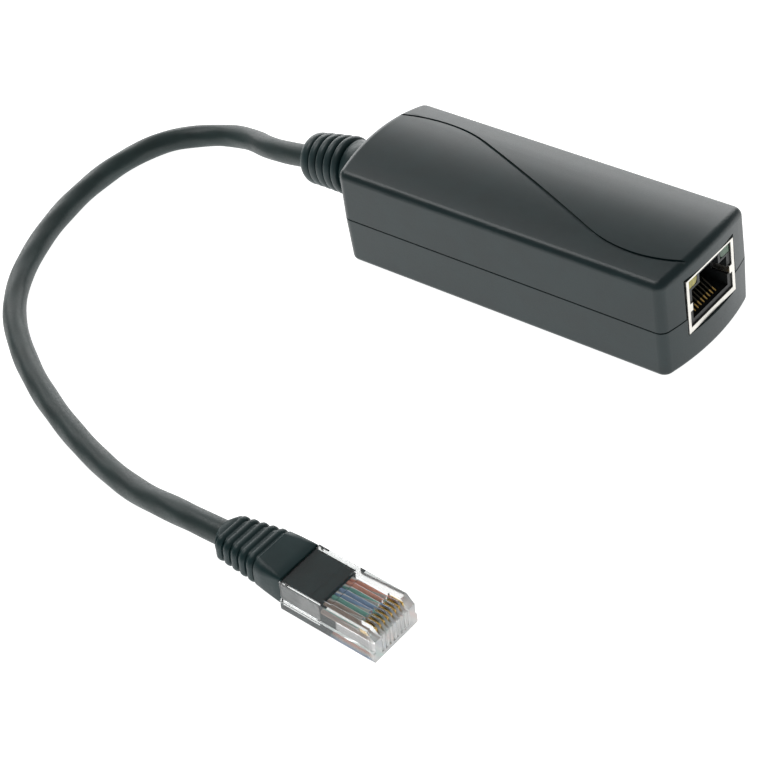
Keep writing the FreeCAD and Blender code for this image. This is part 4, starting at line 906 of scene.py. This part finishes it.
class ConverterBoot(bpy.types.Operator):
    """Build the soft boot: ribs, tapering block and the insert inside the plug"""
    bl_idname = "converter.boot"
    bl_label = "Plug boot"

    def execute(self, context):
        front, back = -PLUG_LENGTH, -PLUG_LENGTH - BLOCK_LENGTH
        block = self.bar("block", back, front, [
            (0.0, 10.5, 6.2, 2.0, 4.0), (0.05, 11.0, 6.7, 2.2, 4.0), (0.35, 11.05, 6.85, 1.8, 3.87),
            (0.7, 10.85, 6.95, 1.2, 3.72), (0.97, 10.62, 7.0, 0.7, 3.6), (1.0, 10.45, 6.85, 0.6, 3.6),
        ])
        width, height, last_rib = 8.7, 5.95, -9.45 * MM
        rib = self.bar("rib", -0.75 * MM, 0.75 * MM, [
            (share, width - cut, height - cut, corner, 0.0) for share, cut, corner in (
                (0.0, 0.9, 1.5), (0.06, 0.4, 1.65), (0.25, 0.05, 1.8), (0.5, 0.0, 1.8),
                (0.75, 0.05, 1.8), (0.94, 0.4, 1.65), (1.0, 0.9, 1.5))
        ])
        rib.transform(Matrix.Rotation(TAIL_DROOP + RIB_LEAN, 4, "Y"))
        # Each rib is 0.5 mm wider and 0.17 mm higher than the one behind it
        growth = (0.0, 0.5 / width, 0.17 / height)
        ribs = row_of(rib, 5, (last_rib, 0.0, 0.0), (2.1 * MM, 0.0, 0.0), "boot_rubber", growth)
        core = self.bar("core", last_rib, 0.3 * MM, [(0.0, 7.5, 5.3, 1.8, 0.0), (1.0, 9.6, 6.1, 1.8, 0.0)])
        tip = self.bar("tip", -11.4 * MM, last_rib, [
            (0.3, 5.15, 5.15, 2.55, 0.0), (0.0, 5.15, 5.15, 2.55, 0.0), (0.0, 5.6, 5.5, 2.6, 0.0),
            (0.04, 5.9, 5.7, 2.6, 0.0), (0.3, 6.95, 5.75, 2.2, 0.0), (0.6, 8.1, 5.8, 1.9, 0.0),
            (1.0, 8.0, 5.5, 1.8, 0.0),
        ], caps=(False, True))
        insert = self.bar("insert", front - 1.5 * MM, front + INSERT_LENGTH, [
            (0.0, 9.8, 4.8, 0.5, 3.4), (0.3, 9.7, 4.8, 0.5, 3.4), (0.76, 9.3, 4.75, 0.5, 3.4),
            (0.79, 9.1, 4.5, 0.5, 3.28), (0.99, 8.7, 3.5, 0.4, 2.8), (1.0, 8.5, 3.3, 0.4, 2.8),
        ])
        for part in (ribs, core, tip):
            part.transform(TAIL_POSE)
        outside = sum(len(part.polygons) for part in (block, ribs, core, tip))
        mesh = in_plug_pose(joined("boot", block, ribs, core, tip, insert))
        new_piece("boot", mesh, "boot_rubber", "plug_boot")
        # Painted light: the insert's rubber is made 1.2 times lighter than the boot's, standing in for the
        # light that reaches it through the clear moulding
        mesh.materials.append(wetted("insert_rubber", shade(context.scene.converter_plug.boot, 1.2)))
        for face in mesh.polygons[outside:]:
            face.material_index = 1
        return {"FINISHED"}

    def bar(self, name, start, end, stations, caps=(True, True)):
        """A bar of rounded rectangles: each station's share of the length, width, height, corner and axis."""
        rings = []
        for share, width, height, corner, axis in stations:
            outline = rounded_rectangle(width * MM, height * MM, corner * MM)
            rings.append([Vector((start + (end - start) * share, y, axis * MM + z)) for y, z in outline])
        return skin(name, rings, caps, smooth_angle=38)


# What the closed case holds

class ConverterInside(bpy.types.Operator):
    """Give the board, its parts and the leads their finishes"""
    bl_idname = "converter.inside"
    bl_label = "Inside of the case"

    def execute(self, context):
        for node, piece in frame["nodes"].items():
            if piece.hide_render:
                continue
            finish = material_for(NODE_SLOTS[node])
            for material_slot in piece.material_slots:
                material_slot.material = finish
        return {"FINISHED"}


class ConverterPanel(bpy.types.Panel):
    """List the settings and the steps in the sidebar"""
    bl_idname = "VIEW3D_PT_converter"
    bl_label = "Converter"
    bl_space_type = "VIEW_3D"
    bl_region_type = "UI"
    bl_category = "Converter"

    def draw(self, context):
        for name in SETTINGS:
            settings = getattr(context.scene, name)
            box = self.layout.box()
            for key in settings.__annotations__:
                box.prop(settings, key)
        for operator in OPERATORS:
            self.layout.operator(operator.bl_idname)


SETTINGS = {
    "converter_case": CaseSettings, "converter_cable": CableSettings,
    "converter_plug": PlugSettings, "converter_stage": StageSettings,
}
OPERATORS = [
    ConverterStage, ConverterCable, ConverterRelief, ConverterBoot, ConverterPlug, ConverterCord,
    ConverterCase, ConverterSocket, ConverterInside,
]


def register():
    for group in SETTINGS.values():
        bpy.utils.register_class(group)
    for operator in OPERATORS:
        bpy.utils.register_class(operator)
    bpy.utils.register_class(ConverterPanel)
    for name, group in SETTINGS.items():
        setattr(bpy.types.Scene, name, PointerProperty(type=group))


def unregister():
    for name in SETTINGS:
        delattr(bpy.types.Scene, name)
    bpy.utils.unregister_class(ConverterPanel)
    for operator in reversed(OPERATORS):
        bpy.utils.unregister_class(operator)
    for group in reversed(SETTINGS.values()):
        bpy.utils.unregister_class(group)


def main():
    register()
    for operator in OPERATORS:
        family, name = operator.bl_idname.split(".")
        getattr(getattr(bpy.ops, family), name)()
    bpy.context.view_layer.update()


if __name__ == "__main__":
    main()
